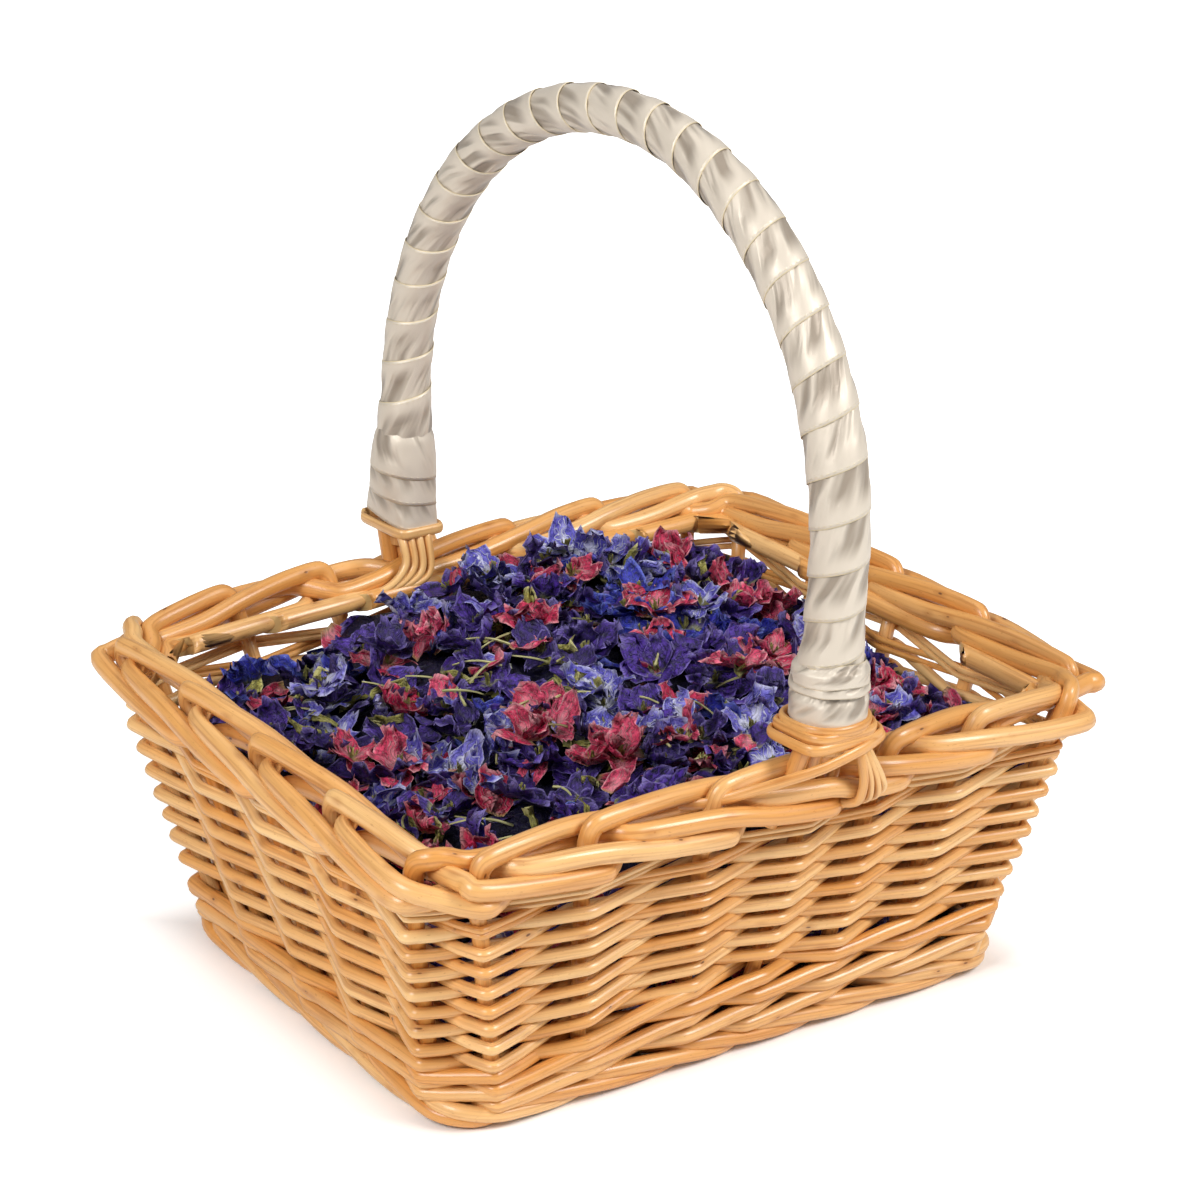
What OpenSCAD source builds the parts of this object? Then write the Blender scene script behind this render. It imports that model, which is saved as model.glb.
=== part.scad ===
// Flower girl basket: a willow basket with a ribbon-wrapped arch handle and a loose fill of petals.
// The origin is on the floor in the middle of the foot. X runs along the long walls and Z is up.

/* [Basket] */
// Length of the wall at the floor
base_l = 253; // [245:1:262]
// Width of the wall at the floor
base_w = 204; // [196:1:212]
// Length of the wall at the top of the weave
top_l = 298; // [290:1:306]
// Width of the wall at the top of the weave
top_w = 257; // [250:1:264]
// Height of the top of the weave
wall_h = 101; // [99:1:105]
// Distance of each corner post from the corner itself
corner_cut = 16; // [15:1:19]

/* [Weave] */
// Diameter of the upright stakes
stake_d = 5.6; // [5:0.1:5.8]
// Thickness of a weaving rod through the wall
weaver_t = 4.2; // [3.6:0.1:4.4]
// Stake spaces along each long wall
long_gaps = 6; // [6]
// Stake spaces along each short wall
short_gaps = 4; // [4]
// Height at which the lowest weaving rod starts
weave_z = 13; // [12.8:0.1:13.4]
// Height given to each heavy rod of the bottom wale
wale_pitch = 4.7; // [4.5:0.1:4.8]

/* [Border and foot] */
// Diameter of the border rods
border_d = 6.2; // [5.6:0.1:6.2]
// Rise of the border between the corners
border_rise = 4; // [2:0.5:5]
// Diameter of the foot rods
foot_d = 6.2; // [5.4:0.1:6.3]
// Depth of the flat worn under the foot
foot_flat = 0.5; // [0.4:0.1:0.8]

/* [Base] */
// Diameter of the base sticks
stick_d = 6; // [5:0.2:6.4]
// Number of base sticks
stick_count = 9; // [7:2:9]
// Thickness of the base weavers
base_t = 3.2; // [2.6:0.2:3.2]
// Number of base weavers
base_weaver_count = 40; // [30:2:44]

/* [Handle] */
// Height of the top of the handle's middle line above the floor
handle_top = 334; // [315:1:345]
// Height at which the legs start to bend
spring_z = 200; // [180:1:210]
// Diameter of the bare bow
bow_d = 14; // [12:0.5:14.5]
// Turn of the handle about the upright axis, in degrees
handle_yaw = 5.7; // [0:0.1:6]
// Lean of the handle towards one end, in degrees
handle_lean = 3.7; // [0:0.1:4]
// Distance of the handle's foot line from the middle of the basket
handle_x = 3; // [0:0.5:4]

/* [Ribbon and bindings] */
// Thickness of the ribbon wrap on the bow
wrap_t = 2.6; // [2:0.1:3]
// Step where one turn of ribbon laps the next
lap_step = 0.8; // [0.4:0.1:1]
// Turns of ribbon between the two cuffs
ribbon_turns = 24; // [18:1:24]
// Height of each cuff above its binding
cuff_h = 16; // [12:1:18]
// Outer radius of the cuffs
cuff_r = 14.6; // [13:0.2:15]
// Diameter of the split willow of the bindings
binding_d = 4.4; // [3.6:0.1:4.6]
// Turns of the front binding
front_turns = 2.5; // [1.5:0.5:2.5]
// Turns of the back binding
back_turns = 1.5; // [1:0.5:2]
// Diameter of the lashing strands
strand_d = 2.6; // [2:0.1:2.8]
// Number of lashing strands at each foot of the handle
strand_count = 4; // [2:1:4]

/* [Petals] */
// Height of the fill at the walls
fill_edge_z = 93; // [80:1:96]
// Height of the middle of the fill
fill_top_z = 112; // [98:1:113]
// Gap between the fill and the walls
fill_gap = 5; // [4.8:0.2:6]

/* [Hidden] */
willow = "#cf9f63";
pale_willow = "#dcb47c";
satin = "#f3ead6";
petal_violet = "#4a3f8f";
clear = 0.3;

weave_swing = stake_d / 2 + weaver_t / 2 + 0.8;
weave_reach = weave_swing + weaver_t / 2;
weaver_flat = 3.5;
wale_count = 6;
course_count = 14;
wale_top = weave_z + wale_count * wale_pitch;
course_pitch = (wall_h - wale_top) / course_count;

// Stakes in order round the wall from the front left corner: the wall's number and the place along it
STAKES = [
    for (wall = [0:3])
        let (gaps = wall % 2 == 0 ? long_gaps : short_gaps)
        for (k = [0:gaps]) [wall, 2 * k / gaps - 1]
];
stake_count = len(STAKES);
front_foot = long_gaps / 2;
back_foot = stake_count / 2 + front_foot;
corner_turn = 22.5;

// Border rod, from its stake: spaces passed, place in the space, distance out of the stake line, height
// above the weave. A place below 1 is a share of the space, any other is in millimetres
border_lift = border_d / 2 + 0.9;
border_top = 16.5;
corner_rise = 1.5;
BORDER_ROUTE = [
    [0, 0, 0, -3.4], [0, 0, 0.4, 7], [0, 5, 0, 13], [0, 0.4, -2.4, border_top], [0, 0.75, -6.4, 16.1],
    [1, 0, -8.8, 14.1], [1, 9, -8.8, 13.4], [1, 0.7, -8.5, 9],
    [2, 0, -7.8, 6.8], [2, 5, -7, 6.8], [2, 12, 0.2, 7], [2, 19.5, 8, 7.2],
    [3, 0, 9, 7.3], [3, 6, 9, 7], [3, 12, 9.2, 3.5], [3, 16.5, 9.1, 0.3],
    [4, 0, 8.6, 0], [4, 5, 7, 0], [4, 10, 0, 0], [4, 14.5, -5.8, -0.2], [4, 19, -8.4, -0.4],
    [4, 0.85, -9, -0.4]
];

// Foot rod, from its stake: spaces passed, distance out of the stake line, height of its middle
foot_low = foot_d / 2 - foot_flat;
FOOT_ROUTE = [
    [0, 0, 9.4], [0.3, 4, 9.2], [0.6, 6.8, 7.8], [0.9, 7.4, 4.6], [1.15, 7.2, foot_low],
    [1.35, 5.4, foot_low], [1.6, 0.5, foot_low], [1.9, -6, foot_low], [2.4, -11.5, foot_low]
];

// Base
base_swing = stick_d / 2 + base_t / 2 + 0.15;
stick_z = foot_low + foot_d / 2 + clear + base_swing + base_t / 2;
base_half_l = half_l(weave_z) - weave_reach - corner_cut / 2;
base_half_w = half_w(weave_z) - weave_reach - 1;

// Handle
foot_z = wall_h + border_lift + border_top + border_rise + border_d / 2 + 1.9;
handle_span = half_w(foot_z) / cos(handle_yaw);
leg_l = spring_z - foot_z;
arch_rise = (handle_top - foot_z) / cos(handle_lean) - leg_l;
arch_l = PI * (handle_span + arch_rise) / 2;
bow_l = 2 * leg_l + arch_l;
neck_d = 8;
neck_z = wall_h + 0.6;
binding_half = [15.5, 13];
binding_round = 0.42;
binding_pitch = binding_d + 0.7;
loop_rings = 24;
wrap_in = bow_d / 2 + clear;
cuff_low = front_turns * binding_pitch + binding_d + 1.5;
bow_rings = 48;

// Lashing strands: places of the first one, counted in stake spaces from the handle's foot
front_strand = 0.36;
back_strand = -0.16;
strand_step = 0.105;
STRAND_ROUTE = [[0, 11.6, foot_z - 3], [-0.02, 15.9, wall_h + 20], [-0.02, 15.5, wall_h + 8]];

// Heap of petals: slope along each axis, fall to the walls, height of its lumps, greatest height
heap_tilt = [0.055, 0.05];
heap_fall = 3;
lump_h = 3.2;
heap_max = 116.4;

// Extra fall of the heap towards the left wall: its depth, where it starts and how far it runs
slope_h = 10;
slope_x = -50;
slope_run = 65;

function course_name(k) = str("weave_course_", k < 10 ? "0" : "", k);
function unit(v) = v / norm(v);
function quarter_turns(p, n) = n == 0 ? p : quarter_turns([-p.y, p.x], n - 1);

// Half length and half width of the stake line at a height
function half_l(z) = base_l / 2 + (top_l - base_l) / 2 * z / wall_h - weave_reach;
function half_w(z) = base_w / 2 + (top_w - base_w) / 2 * z / wall_h - weave_reach;

function stake(j) = STAKES[j % stake_count];
function is_corner(j) = abs(stake(j)[1]) > 0.99;
function carries_handle(j) = stake(j)[0] % 2 == 0 && abs(stake(j)[1]) < 0.01;
function foot_shift(wall) = handle_span * sin(handle_yaw) + (wall == 0 ? handle_x : -handle_x);

// Middle of a stake at a height, and the way out of the wall there
function stake_at(j, z) =
    let (
        wall = stake(j)[0],
        along = wall % 2 == 0 ? half_l(z) : half_w(z),
        out = wall % 2 == 0 ? half_w(z) : half_l(z),
        shift = carries_handle(j) ? foot_shift(wall) * z / foot_z : 0
    )
    quarter_turns([stake(j)[1] * (along - corner_cut) + shift, -out], wall);
function stake_out(j) =
    let (a = is_corner(j) ? sign(stake(j)[1]) * corner_turn : 0)
    quarter_turns([sin(a), -cos(a)], stake(j)[0]);

// Point beside the wall: u counts stakes, n is the distance out of the stake line
function wall_point(u, n, z) =
    let (
        j = floor(u),
        f = u - j,
        p = stake_at(j, z) * (1 - f) + stake_at(j + 1, z) * f,
        q = p + n * unit(stake_out(j) * (1 - f) + stake_out(j + 1) * f)
    )
    [q.x, q.y, z];
function rise_at(u) =
    let (j = floor(u), f = u - j)
    (is_corner(j) ? corner_rise : border_rise) * (1 - f) + (is_corner(j + 1) ? corner_rise : border_rise) * f;
function gap_l(j) = norm(stake_at(j + 1, wall_h) - stake_at(j, wall_h));

// Middle line of the bow at a distance along it, in the handle's own frame
function bow_at(s) =
    s < leg_l ? [0, -handle_span, s]
    : s > bow_l - leg_l ? [0, handle_span, bow_l - s]
    : let (a = 180 * (s - leg_l) / arch_l) [0, -handle_span * cos(a), leg_l + arch_rise * sin(a)];

// Rings of a swept rod: ref is a direction that the rod never follows, or outward from the middle
function course_at(points, k) = unit(points[min(k + 1, len(points) - 1)] - points[max(k - 1, 0)]);
function ring(p, d, ref, radii) =
    let (
        side = unit(cross(d, is_undef(ref) ? [p.x, p.y, 0] : ref)),
        up = cross(side, d),
        n = len(radii)
    )
    [for (k = [0:n - 1]) p + radii[k] * (cos(360 * k / n) * up + sin(360 * k / n) * side)];
function rings(points, radii, ref) =
    [for (k = [0:len(points) - 1]) each ring(points[k], course_at(points, k), ref, radii[k])];
function tube_faces(first, count, n) = [
    for (i = [0:count - 2])
        for (k = [0:n - 1])
            let (a = first + i * n + k, b = first + i * n + (k + 1) % n)
            each [[a, a + n, b + n], [a, b + n, b]]
];
function start_cap(first, n) = [for (k = [1:n - 2]) [first, first + k, first + k + 1]];
function end_cap(first, n) = [for (k = [1:n - 2]) [first, first + k + 1, first + k]];
function flip(faces) = [for (f = faces) [f[0], f[2], f[1]]];
function same(value, n) = [for (k = [1:n]) value];
function above_floor(points) = [for (p = points) [p.x, p.y, max(p.z, 0)]];

// Solid rod along points
module rod(points, d, sides = 6, ref = undef) {
    radii = same(same(d / 2, sides), len(points));
    polyhedron(
        above_floor(rings(points, radii, ref)),
        concat(
            tube_faces(0, len(points), sides),
            start_cap(0, sides),
            end_cap((len(points) - 1) * sides, sides)
        )
    );
}

// Sleeve round the bow between two distances along it, with its outer radius from a list per ring
module sleeve(places, radii, inner_places) {
    sides = len(radii[0]);
    outer = [for (s = places) bow_at(s)];
    inner = [for (s = inner_places) bow_at(s)];
    inner_radii = same(same(wrap_in, sides), len(inner));
    inner_first = len(outer) * sides;
    last_outer = (len(outer) - 1) * sides;
    last_inner = inner_first + (len(inner) - 1) * sides;
    polyhedron(
        concat(rings(outer, radii, [1, 0, 0]), rings(inner, inner_radii, [1, 0, 0])),
        concat(
            tube_faces(0, len(outer), sides),
            flip(tube_faces(inner_first, len(inner), sides)),
            ring_cap(inner_first, 0, sides),
            ring_cap(last_outer, last_inner, sides)
        )
    );
}
function ring_cap(a, b, n) = [
    for (k = [0:n - 1])
        let (k2 = (k + 1) % n)
        each [[a + k, b + k, b + k2], [a + k, b + k2, a + k2]]
];

// Straight round rod between two points
module bar(a, b, d) {
    v = b - a;
    translate(a)
        rotate([0, acos(v.z / norm(v)), atan2(v.y, v.x)])
            cylinder(d = d, h = norm(v), $fn = 32);
}

// One weaving rod round the wall. places says, stake by stake, whether it passes outside, 1, or inside, -1.
// The rod's two ends meet behind stake first.
module weaver(z, h, places, first) {
    outer = weaver_edge(z, places, first, weaver_t / 2);
    inner = weaver_edge(z, places, first, -weaver_t / 2);
    last = len(inner) - 1;
    translate([0, 0, z - h / 2])
        linear_extrude(h)
            polygon(concat(outer, [for (k = [0:last]) inner[last - k]]));
}
function weaver_edge(z, places, first, offset_out) = [
    for (i = [0:stake_count])
        for (e = [-1, 1])
            if (!(i == 0 && e == -1) && !(i == stake_count && e == 1))
                let (j = (first + i) % stake_count, out = stake_out(j))
                stake_at(j, z) + out * (places[j] * weave_swing + offset_out)
                    + [-out.y, out.x] * e * weaver_flat
];

module base_sticks() {
    color(willow)
        for (k = [0:stick_count - 1])
            translate([-base_half_l, stick_y(k), stick_z])
                rotate([0, 90, 0])
                    cylinder(d = stick_d, h = 2 * base_half_l, $fn = 32);
}
function stick_y(k) = (2 * k / (stick_count - 1) - 1) * (base_half_w - stick_d);

// Flat rods across the base, over and under the sticks by turns
module base_weavers() {
    pitch = 2 * base_half_l / base_weaver_count;
    color(willow)
        for (i = [0:base_weaver_count - 1])
            translate([-base_half_l + (i + 0.5) * pitch, 0, stick_z])
                rotate([90, 0, 90])
                    linear_extrude(pitch - clear, center = true)
                        polygon(concat(base_edge(i, base_t / 2), reversed(base_edge(i, -base_t / 2))));
}
function base_edge(i, up) = [
    for (k = [0:stick_count - 1])
        for (e = [-1, 1])
            [stick_y(k) + e * stick_d / 2, ((i + k) % 2 == 0 ? 1 : -1) * base_swing + up]
];
function reversed(list) = [for (k = [len(list) - 1:-1:0]) list[k]];

// Rods of one side of the foot, each lying over the next
module foot_side(wall) {
    color(willow)
        for (j = [0:stake_count - 1])
            if (stake(j)[0] == wall)
                rod([for (r = FOOT_ROUTE) wall_point(j + r[0], r[1], r[2])], foot_d);
}

// Heavy bottom rod: outside two stakes, inside one
module wale_rod(k) {
    places = [for (j = [0:stake_count - 1]) (j + k) % 3 == 0 ? -1 : 1];
    color(willow)
        weaver(weave_z + (k - 0.5) * wale_pitch, wale_pitch - clear, places, (3 - k % 3) % 3 + 9);
}

// Thinner rod: outside one stake, inside the next
module weave_course(k) {
    places = [for (j = [0:stake_count - 1]) (j + k) % 2 == 0 ? 1 : -1];
    color(pale_willow)
        weaver(wale_top + (k - 0.5) * course_pitch, course_pitch - clear, places, (5 * k + 1) % stake_count);
}

module upright(j) {
    top_z = wall_h - clear;
    a = stake_at(j, weave_z);
    b = stake_at(j, top_z);
    bar([a.x, a.y, weave_z], [b.x, b.y, top_z], stake_d);
}

module corner_posts() {
    color(willow)
        for (j = [0:stake_count - 1])
            if (is_corner(j)) upright(j);
}

module wall_stakes(wall) {
    color(willow)
        for (j = [0:stake_count - 1])
            if (stake(j)[0] == wall && !is_corner(j) && !carries_handle(j)) upright(j);
}

// Border rods of one side: each bends over behind two stakes, out in front of two more and in again
module border_side(wall) {
    color(willow)
        for (j = [0:stake_count - 1])
            if (stake(j)[0] == wall && !carries_handle(j))
                rod([for (r = BORDER_ROUTE) border_point(j, r)], border_d);
}
function border_point(j, r) =
    let (
        u = j + r[0] + (r[1] < 1 ? r[1] : r[1] / gap_l(j + r[0])),
        h = r[3] + (r[3] > 0 ? rise_at(u) * r[3] / border_top : 0)
    )
    wall_point(u, r[2], wall_h + border_lift + h);

module handle_frame() {
    translate([handle_x, 0, foot_z])
        rotate([0, 0, handle_yaw])
            rotate([0, handle_lean, 0])
                children();
}

// Bow: the wrapped arch, thinned to a neck at the border and to a stake in the wall
module handle_bow() {
    color(willow) {
        handle_frame()
            rod([for (k = [0:bow_rings]) bow_at(bow_l * k / bow_rings)], bow_d, 12, [1, 0, 0]);
        for (j = [front_foot, back_foot]) {
            a = stake_at(j, weave_z);
            b = stake_at(j, neck_z);
            c = stake_at(j, foot_z);
            bar([a.x, a.y, weave_z], [b.x, b.y, neck_z], stake_d);
            bar([b.x, b.y, neck_z], [c.x, c.y, foot_z + neck_d / 4], neck_d);
        }
    }
}

// Ribbon wound up one leg, over the arch and down the other, each turn lapping the last
module ribbon_wrap() {
    sides = 12;
    per_turn = 6;
    from = cuff_low + cuff_h + clear;
    length = bow_l - 2 * from;
    count = ribbon_turns * per_turn;
    color(satin)
        handle_frame()
            sleeve(
                [for (i = [0:count]) from + length * i / count],
                [for (i = [0:count]) [for (k = [0:sides - 1]) lap_radius(i / per_turn - k / sides)]],
                [for (i = [0:ribbon_turns * 2]) from + length * i / (ribbon_turns * 2)]
            );
}
function lap_radius(turn) = bow_d / 2 + wrap_t - lap_step * (turn - floor(turn));

// Bunched end of the ribbon above a binding, flaring downwards
module ribbon_cuff(low, up) {
    sides = 12;
    steps = 4;
    places = [for (i = [0:steps]) low + (up - low) * i / steps];
    color(satin)
        handle_frame()
            sleeve(
                places,
                [for (s = places) same(cuff_radius(min(s, bow_l - s)), sides)],
                places
            );
}
function cuff_radius(s) =
    let (f = (s - cuff_low) / cuff_h)
    cuff_r - (cuff_r - bow_d / 2 - wrap_t) * f * f * (3 - 2 * f);

// Split willow wound in a rounded square round a foot of the handle
function binding_route(foot, turns) =
    let (
        count = turns * loop_rings,
        start = binding_d / 2 + 0.4,
        coil = [for (i = [0:count]) binding_at(foot, start, i)],
        first = unit(coil[0] - coil[1]) * binding_d,
        last = unit(coil[count] - coil[count - 1]) * binding_d
    )
    concat([coil[0] + first], coil, [coil[count] + last]);
function binding_at(foot, start, i) =
    let (
        a = 360 * i / loop_rings,
        x = binding_half.x * squared(cos(a)),
        y = binding_half.y * squared(sin(a))
    )
    [x, foot * handle_span + y, start + binding_pitch * i / loop_rings];
function squared(c) = sign(c) * pow(abs(c), binding_round);
function least_gap(route, d) =
    min([
        for (i = [0:len(route) - 1])
            for (k = [i + loop_rings / 2:1:len(route) - 1]) norm(route[i] - route[k])
    ]) - d;

module binding(foot, turns) {
    route = binding_route(foot, turns);
    echo(binding_gap = least_gap(route, binding_d));
    color(pale_willow)
        handle_frame()
            rod(route, binding_d, 6, [0, 0, 1]);
}

// Thin strands from a binding down over the border: outside at the front, inside at the back
module lashing(foot, start, way) {
    color(pale_willow)
        for (k = [0:strand_count - 1])
            rod(
                [for (r = STRAND_ROUTE) wall_point(foot + start + strand_step * k + r[0], way * r[1], r[2])],
                strand_d
            );
}

// Loose petals, in a lumpy heap that is higher towards one corner and falls off to the left
module petal_fill() {
    low_z = stick_z + base_swing + base_t / 2 + clear;
    inset = weave_reach + fill_gap;
    shares = [1, 1, 0.9, 0.68, 0.46, 0.24];
    points = [
        for (k = [0:len(shares) - 1])
            for (j = [0:stake_count - 1])
                let (
                    p = wall_point(j, -inset, fill_edge_z),
                    q = k == 0 ? wall_point(j, -inset, low_z) : p * shares[k],
                    z = k == 0 ? low_z : k == 1 ? fill_edge_z : heap_z(q.x, q.y, shares[k])
                )
                [q.x, q.y, z]
    ];
    last = (len(shares) - 1) * stake_count;
    color(petal_violet)
        polyhedron(
            points,
            concat(
                tube_faces(0, len(shares), stake_count),
                start_cap(0, stake_count),
                end_cap(last, stake_count)
            )
        );
}

// Height of the heap: its tilt, its fall to the walls, its lumps and its slope
function heap_z(x, y, share) =
    let (
        tilt = heap_tilt * [x, y],
        lumps = lump_h * (sin(7.2 * x + 40) * sin(7.6 * y - 20) + 0.5 * sin(4.1 * x + 5.3 * y)),
        t = min(1, max(0, (slope_x - x) / slope_run)),
        slope = slope_h * t * t * (3 - 2 * t)
    )
    min(fill_top_z - heap_fall * share * share + tilt + lumps - slope, heap_max);

base_sticks();
base_weavers();
foot_side(0);  // foot_front
foot_side(1);  // foot_right
foot_side(2);  // foot_back
foot_side(3);  // foot_left
for (k = [1:wale_count]) wale_rod(k);
corner_posts();
wall_stakes(0);  // stakes_front
wall_stakes(1);  // stakes_right
wall_stakes(2);  // stakes_back
wall_stakes(3);  // stakes_left
for (k = [1:course_count]) weave_course(k);
border_side(0);  // border_front
border_side(1);  // border_right
border_side(2);  // border_back
border_side(3);  // border_left
handle_bow();
ribbon_wrap();
ribbon_cuff(cuff_low, cuff_low + cuff_h);  // ribbon_cuff_front
ribbon_cuff(bow_l - cuff_low - cuff_h, bow_l - cuff_low);  // ribbon_cuff_back
binding(-1, front_turns);  // binding_front
binding(1, back_turns);  // binding_back
lashing(front_foot, front_strand, 1);  // lashing_front
lashing(back_foot, back_strand, -1);  // lashing_back
petal_fill();
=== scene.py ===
import math
import random

import bmesh
import bpy
from mathutils import Matrix, Vector, noise


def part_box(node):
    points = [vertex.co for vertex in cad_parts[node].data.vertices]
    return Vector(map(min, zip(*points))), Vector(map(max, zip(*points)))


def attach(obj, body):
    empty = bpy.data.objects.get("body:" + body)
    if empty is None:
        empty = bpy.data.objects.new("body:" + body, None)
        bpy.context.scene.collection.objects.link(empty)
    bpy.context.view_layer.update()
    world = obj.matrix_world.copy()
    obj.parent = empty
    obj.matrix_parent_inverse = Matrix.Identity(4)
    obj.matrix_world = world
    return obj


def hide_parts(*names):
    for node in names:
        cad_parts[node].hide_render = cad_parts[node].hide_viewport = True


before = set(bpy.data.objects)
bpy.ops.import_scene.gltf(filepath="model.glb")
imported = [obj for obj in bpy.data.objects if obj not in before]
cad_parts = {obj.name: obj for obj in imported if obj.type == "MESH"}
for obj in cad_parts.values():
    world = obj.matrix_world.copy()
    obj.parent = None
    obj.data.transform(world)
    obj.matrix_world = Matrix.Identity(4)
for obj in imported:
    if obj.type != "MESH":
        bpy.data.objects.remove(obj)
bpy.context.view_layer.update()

bl_info = {
    "name": "Flower girl basket",
    "version": (1, 0, 0),
    "blender": (4, 5, 0),
    "location": "View3D > Sidebar > Basket",
    "description": "Dresses a woven willow basket with its satin wrapped handle and dried petals",
    "category": "Object",
}

MM = 0.001
BASKET = "basket"
PETALS = "petals"
SIDES = ("front", "right", "back", "left")
WALE_COUNT = 6
COURSE_COUNT = 14
FRONT_FOOT = 3
BACK_FOOT = 15
FEET = (FRONT_FOOT, BACK_FOOT)
FRONT_PLACES = (-1, -0.66, -0.25, 0, 0.34, 0.64, 1)
OTHER_WALLS = ((1, 4), (2, 6), (3, 4))
CORNER_TURN = math.radians(22.5)

# Heights in millimetres, by the place round the wall counted in stakes
WALE_TOPS = ((0, 27), (2.2, 38), (6, 37), (12, 34), (18, 29), (24, 27))
WEAVE_TOPS = (
    (0, 101), (3, 101), (4.5, 106), (6, 108), (7, 107), (9, 105), (18, 105), (19.5, 101), (24, 101),
)

# Heights in millimetres above the weave, and the most that the border may be stretched upwards
BORDER_START = 4
BORDER_HEIGHT = 16.5
CORNER_RISE = 1.5
HANDLE_FOOT_RISE = 29.5
BORDER_STRETCH = 1.25

# First seeds of the rods of each group
SEEDS = {
    "base_sticks": 21, "base_weavers": 22, "foot": 30, "wale": 40, "stakes": 60, "weave": 80, "border": 110,
    "bow": 130, "binding_back": 144, "binding_front": 145, "lashing_front": 151, "lashing_back": 152,
}
WILLOW_FINISHES = {"willow": "buff willow", "pale_willow": "pale buff willow"}
PALE_SHARES = {"buff willow": 0.0, "pale buff willow": 0.14}

# Deep, usual, vivid and pale colour of each kind of petal, and how far its heart shows. The deep colour is
# also painted shade in the creases, and the pale colour painted highlight on their ridges.
PETAL_SHADES = {
    "violet petals": ("violet_dark", "violet", "5834ac", "9a8cd4", 0.12),
    "lavender petals": ("332c8c", "lavender", "968ee4", "lavender_pale", 0.85),
    "blue petals": ("0d0e48", "blue", "3430b8", "8494ec", 0.25),
    "pink petals": ("740c2c", "pink", "f0587e", "pink_pale", 0.4),
    "sepal petals": ("66602a", "a9a350", "c6bf62", "e2dca0", 0.4),
    # The near-black colours of the bed are painted shadow for the gaps between the loose petals.
    "pressed petals": ("08061a", "150f34", "1e1748", "241c4e", 0),
}


def number(name, value, description, **more):
    """A number, with a unit or subtype where one fits."""
    return bpy.props.FloatProperty(name=name, description=description, default=value, **more)


def millimetres(name, value, description):
    """A length that shows in scene units, with its default in millimetres."""
    return number(name, value * MM, description, unit="LENGTH", precision=5)


def whole_number(name, value, description):
    """A number of pieces, or a seed."""
    return bpy.props.IntProperty(name=name, description=description, default=value)


def point(name, value, description):
    """A place in the scene."""
    return bpy.props.FloatVectorProperty(
        name=name, description=description, default=value, subtype="TRANSLATION", unit="LENGTH"
    )


def linear(hex_colour):
    """Scene colour of a screen colour such as d9a866."""
    parts = [int(hex_colour[k:k + 2], 16) / 255 for k in (0, 2, 4)]
    return tuple(c / 12.92 if c <= 0.04045 else ((c + 0.055) / 1.055) ** 2.4 for c in parts)


def colour(name, hex_colour, description):
    """A colour that a user may change, with its default as a screen colour."""
    return bpy.props.FloatVectorProperty(
        name=name, description=description, default=linear(hex_colour), subtype="COLOR", min=0, max=1
    )


class BasketWallSizes(bpy.types.PropertyGroup):
    """Sizes of the woven wall, its foot and its border."""

    base_length: millimetres("Base length", 253, "Length of the wall at the floor")
    base_width: millimetres("Base width", 204, "Width of the wall at the floor")
    top_length: millimetres("Top length", 298, "Length of the wall at the top of the weave")
    top_width: millimetres("Top width", 257, "Width of the wall at the top of the weave")
    wall_height: millimetres("Wall height", 101, "Height of the top of the weave")
    corner_cut: millimetres("Corner cut", 16, "Distance of each corner post from the corner itself")
    weave_reach: millimetres("Weave reach", 7.8, "Distance from the stake line to the outside of the weave")
    stake_d: millimetres("Stake", 6.2, "Diameter of the upright stakes")
    weaver_d: millimetres("Weaving rod", 5.1, "Diameter of the weaving rods")
    wale_d: millimetres("Wale rod", 6.2, "Diameter of the heavy rods at the bottom of the wall")
    split_d: millimetres("Split rod", 2.6, "Diameter of the split rods under the border")
    weave_z: millimetres("Weave start", 10.6, "Height at which the lowest rod starts")
    weave_count: whole_number("Weaving rods", 16, "Number of rows of weaving rods")
    slack: millimetres("Slack", 0.7, "Play between a stake and the rods that pass it")
    border_d: millimetres("Border rod", 7.4, "Usual diameter of the border rods")
    border_rise: millimetres("Border rise", 4, "Rise of the border between the corners")
    foot_d: millimetres("Foot rod", 6.6, "Diameter of the foot rods")
    stick_d: millimetres("Base stick", 6, "Diameter of the base sticks")


class BasketHandleSizes(bpy.types.PropertyGroup):
    """Sizes of the arch handle, its ribbon and its bindings."""

    top: millimetres("Top", 334, "Height of the top of the handle's middle line")
    spring: millimetres("Spring", 200, "Height at which the legs start to bend")
    foot_x: millimetres("Foot place", 3, "Distance of the feet from the middle of the basket")
    bow_d: millimetres("Bow", 14, "Diameter of the bare bow")
    ribbon_width: millimetres("Ribbon width", 25, "Width of the satin ribbon")
    ribbon_pitch: millimetres("Ribbon pitch", 17, "Distance from one turn of ribbon to the next")
    lap: millimetres("Lap", 0.22, "Step where a turn lies over the one before")
    pucker: millimetres("Pucker", 0.55, "Depth of the puckers between two laps")
    binding_d: millimetres("Binding", 4.4, "Width of the split willow round the feet")
    strand_d: millimetres("Strand", 2.7, "Diameter of the lashing strands")
    yaw: number("Yaw", math.radians(5.7), "Turn of the handle about the upright axis", subtype="ANGLE")
    lean: number("Lean", math.radians(3.7), "Lean of the handle towards one end", subtype="ANGLE")


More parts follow.
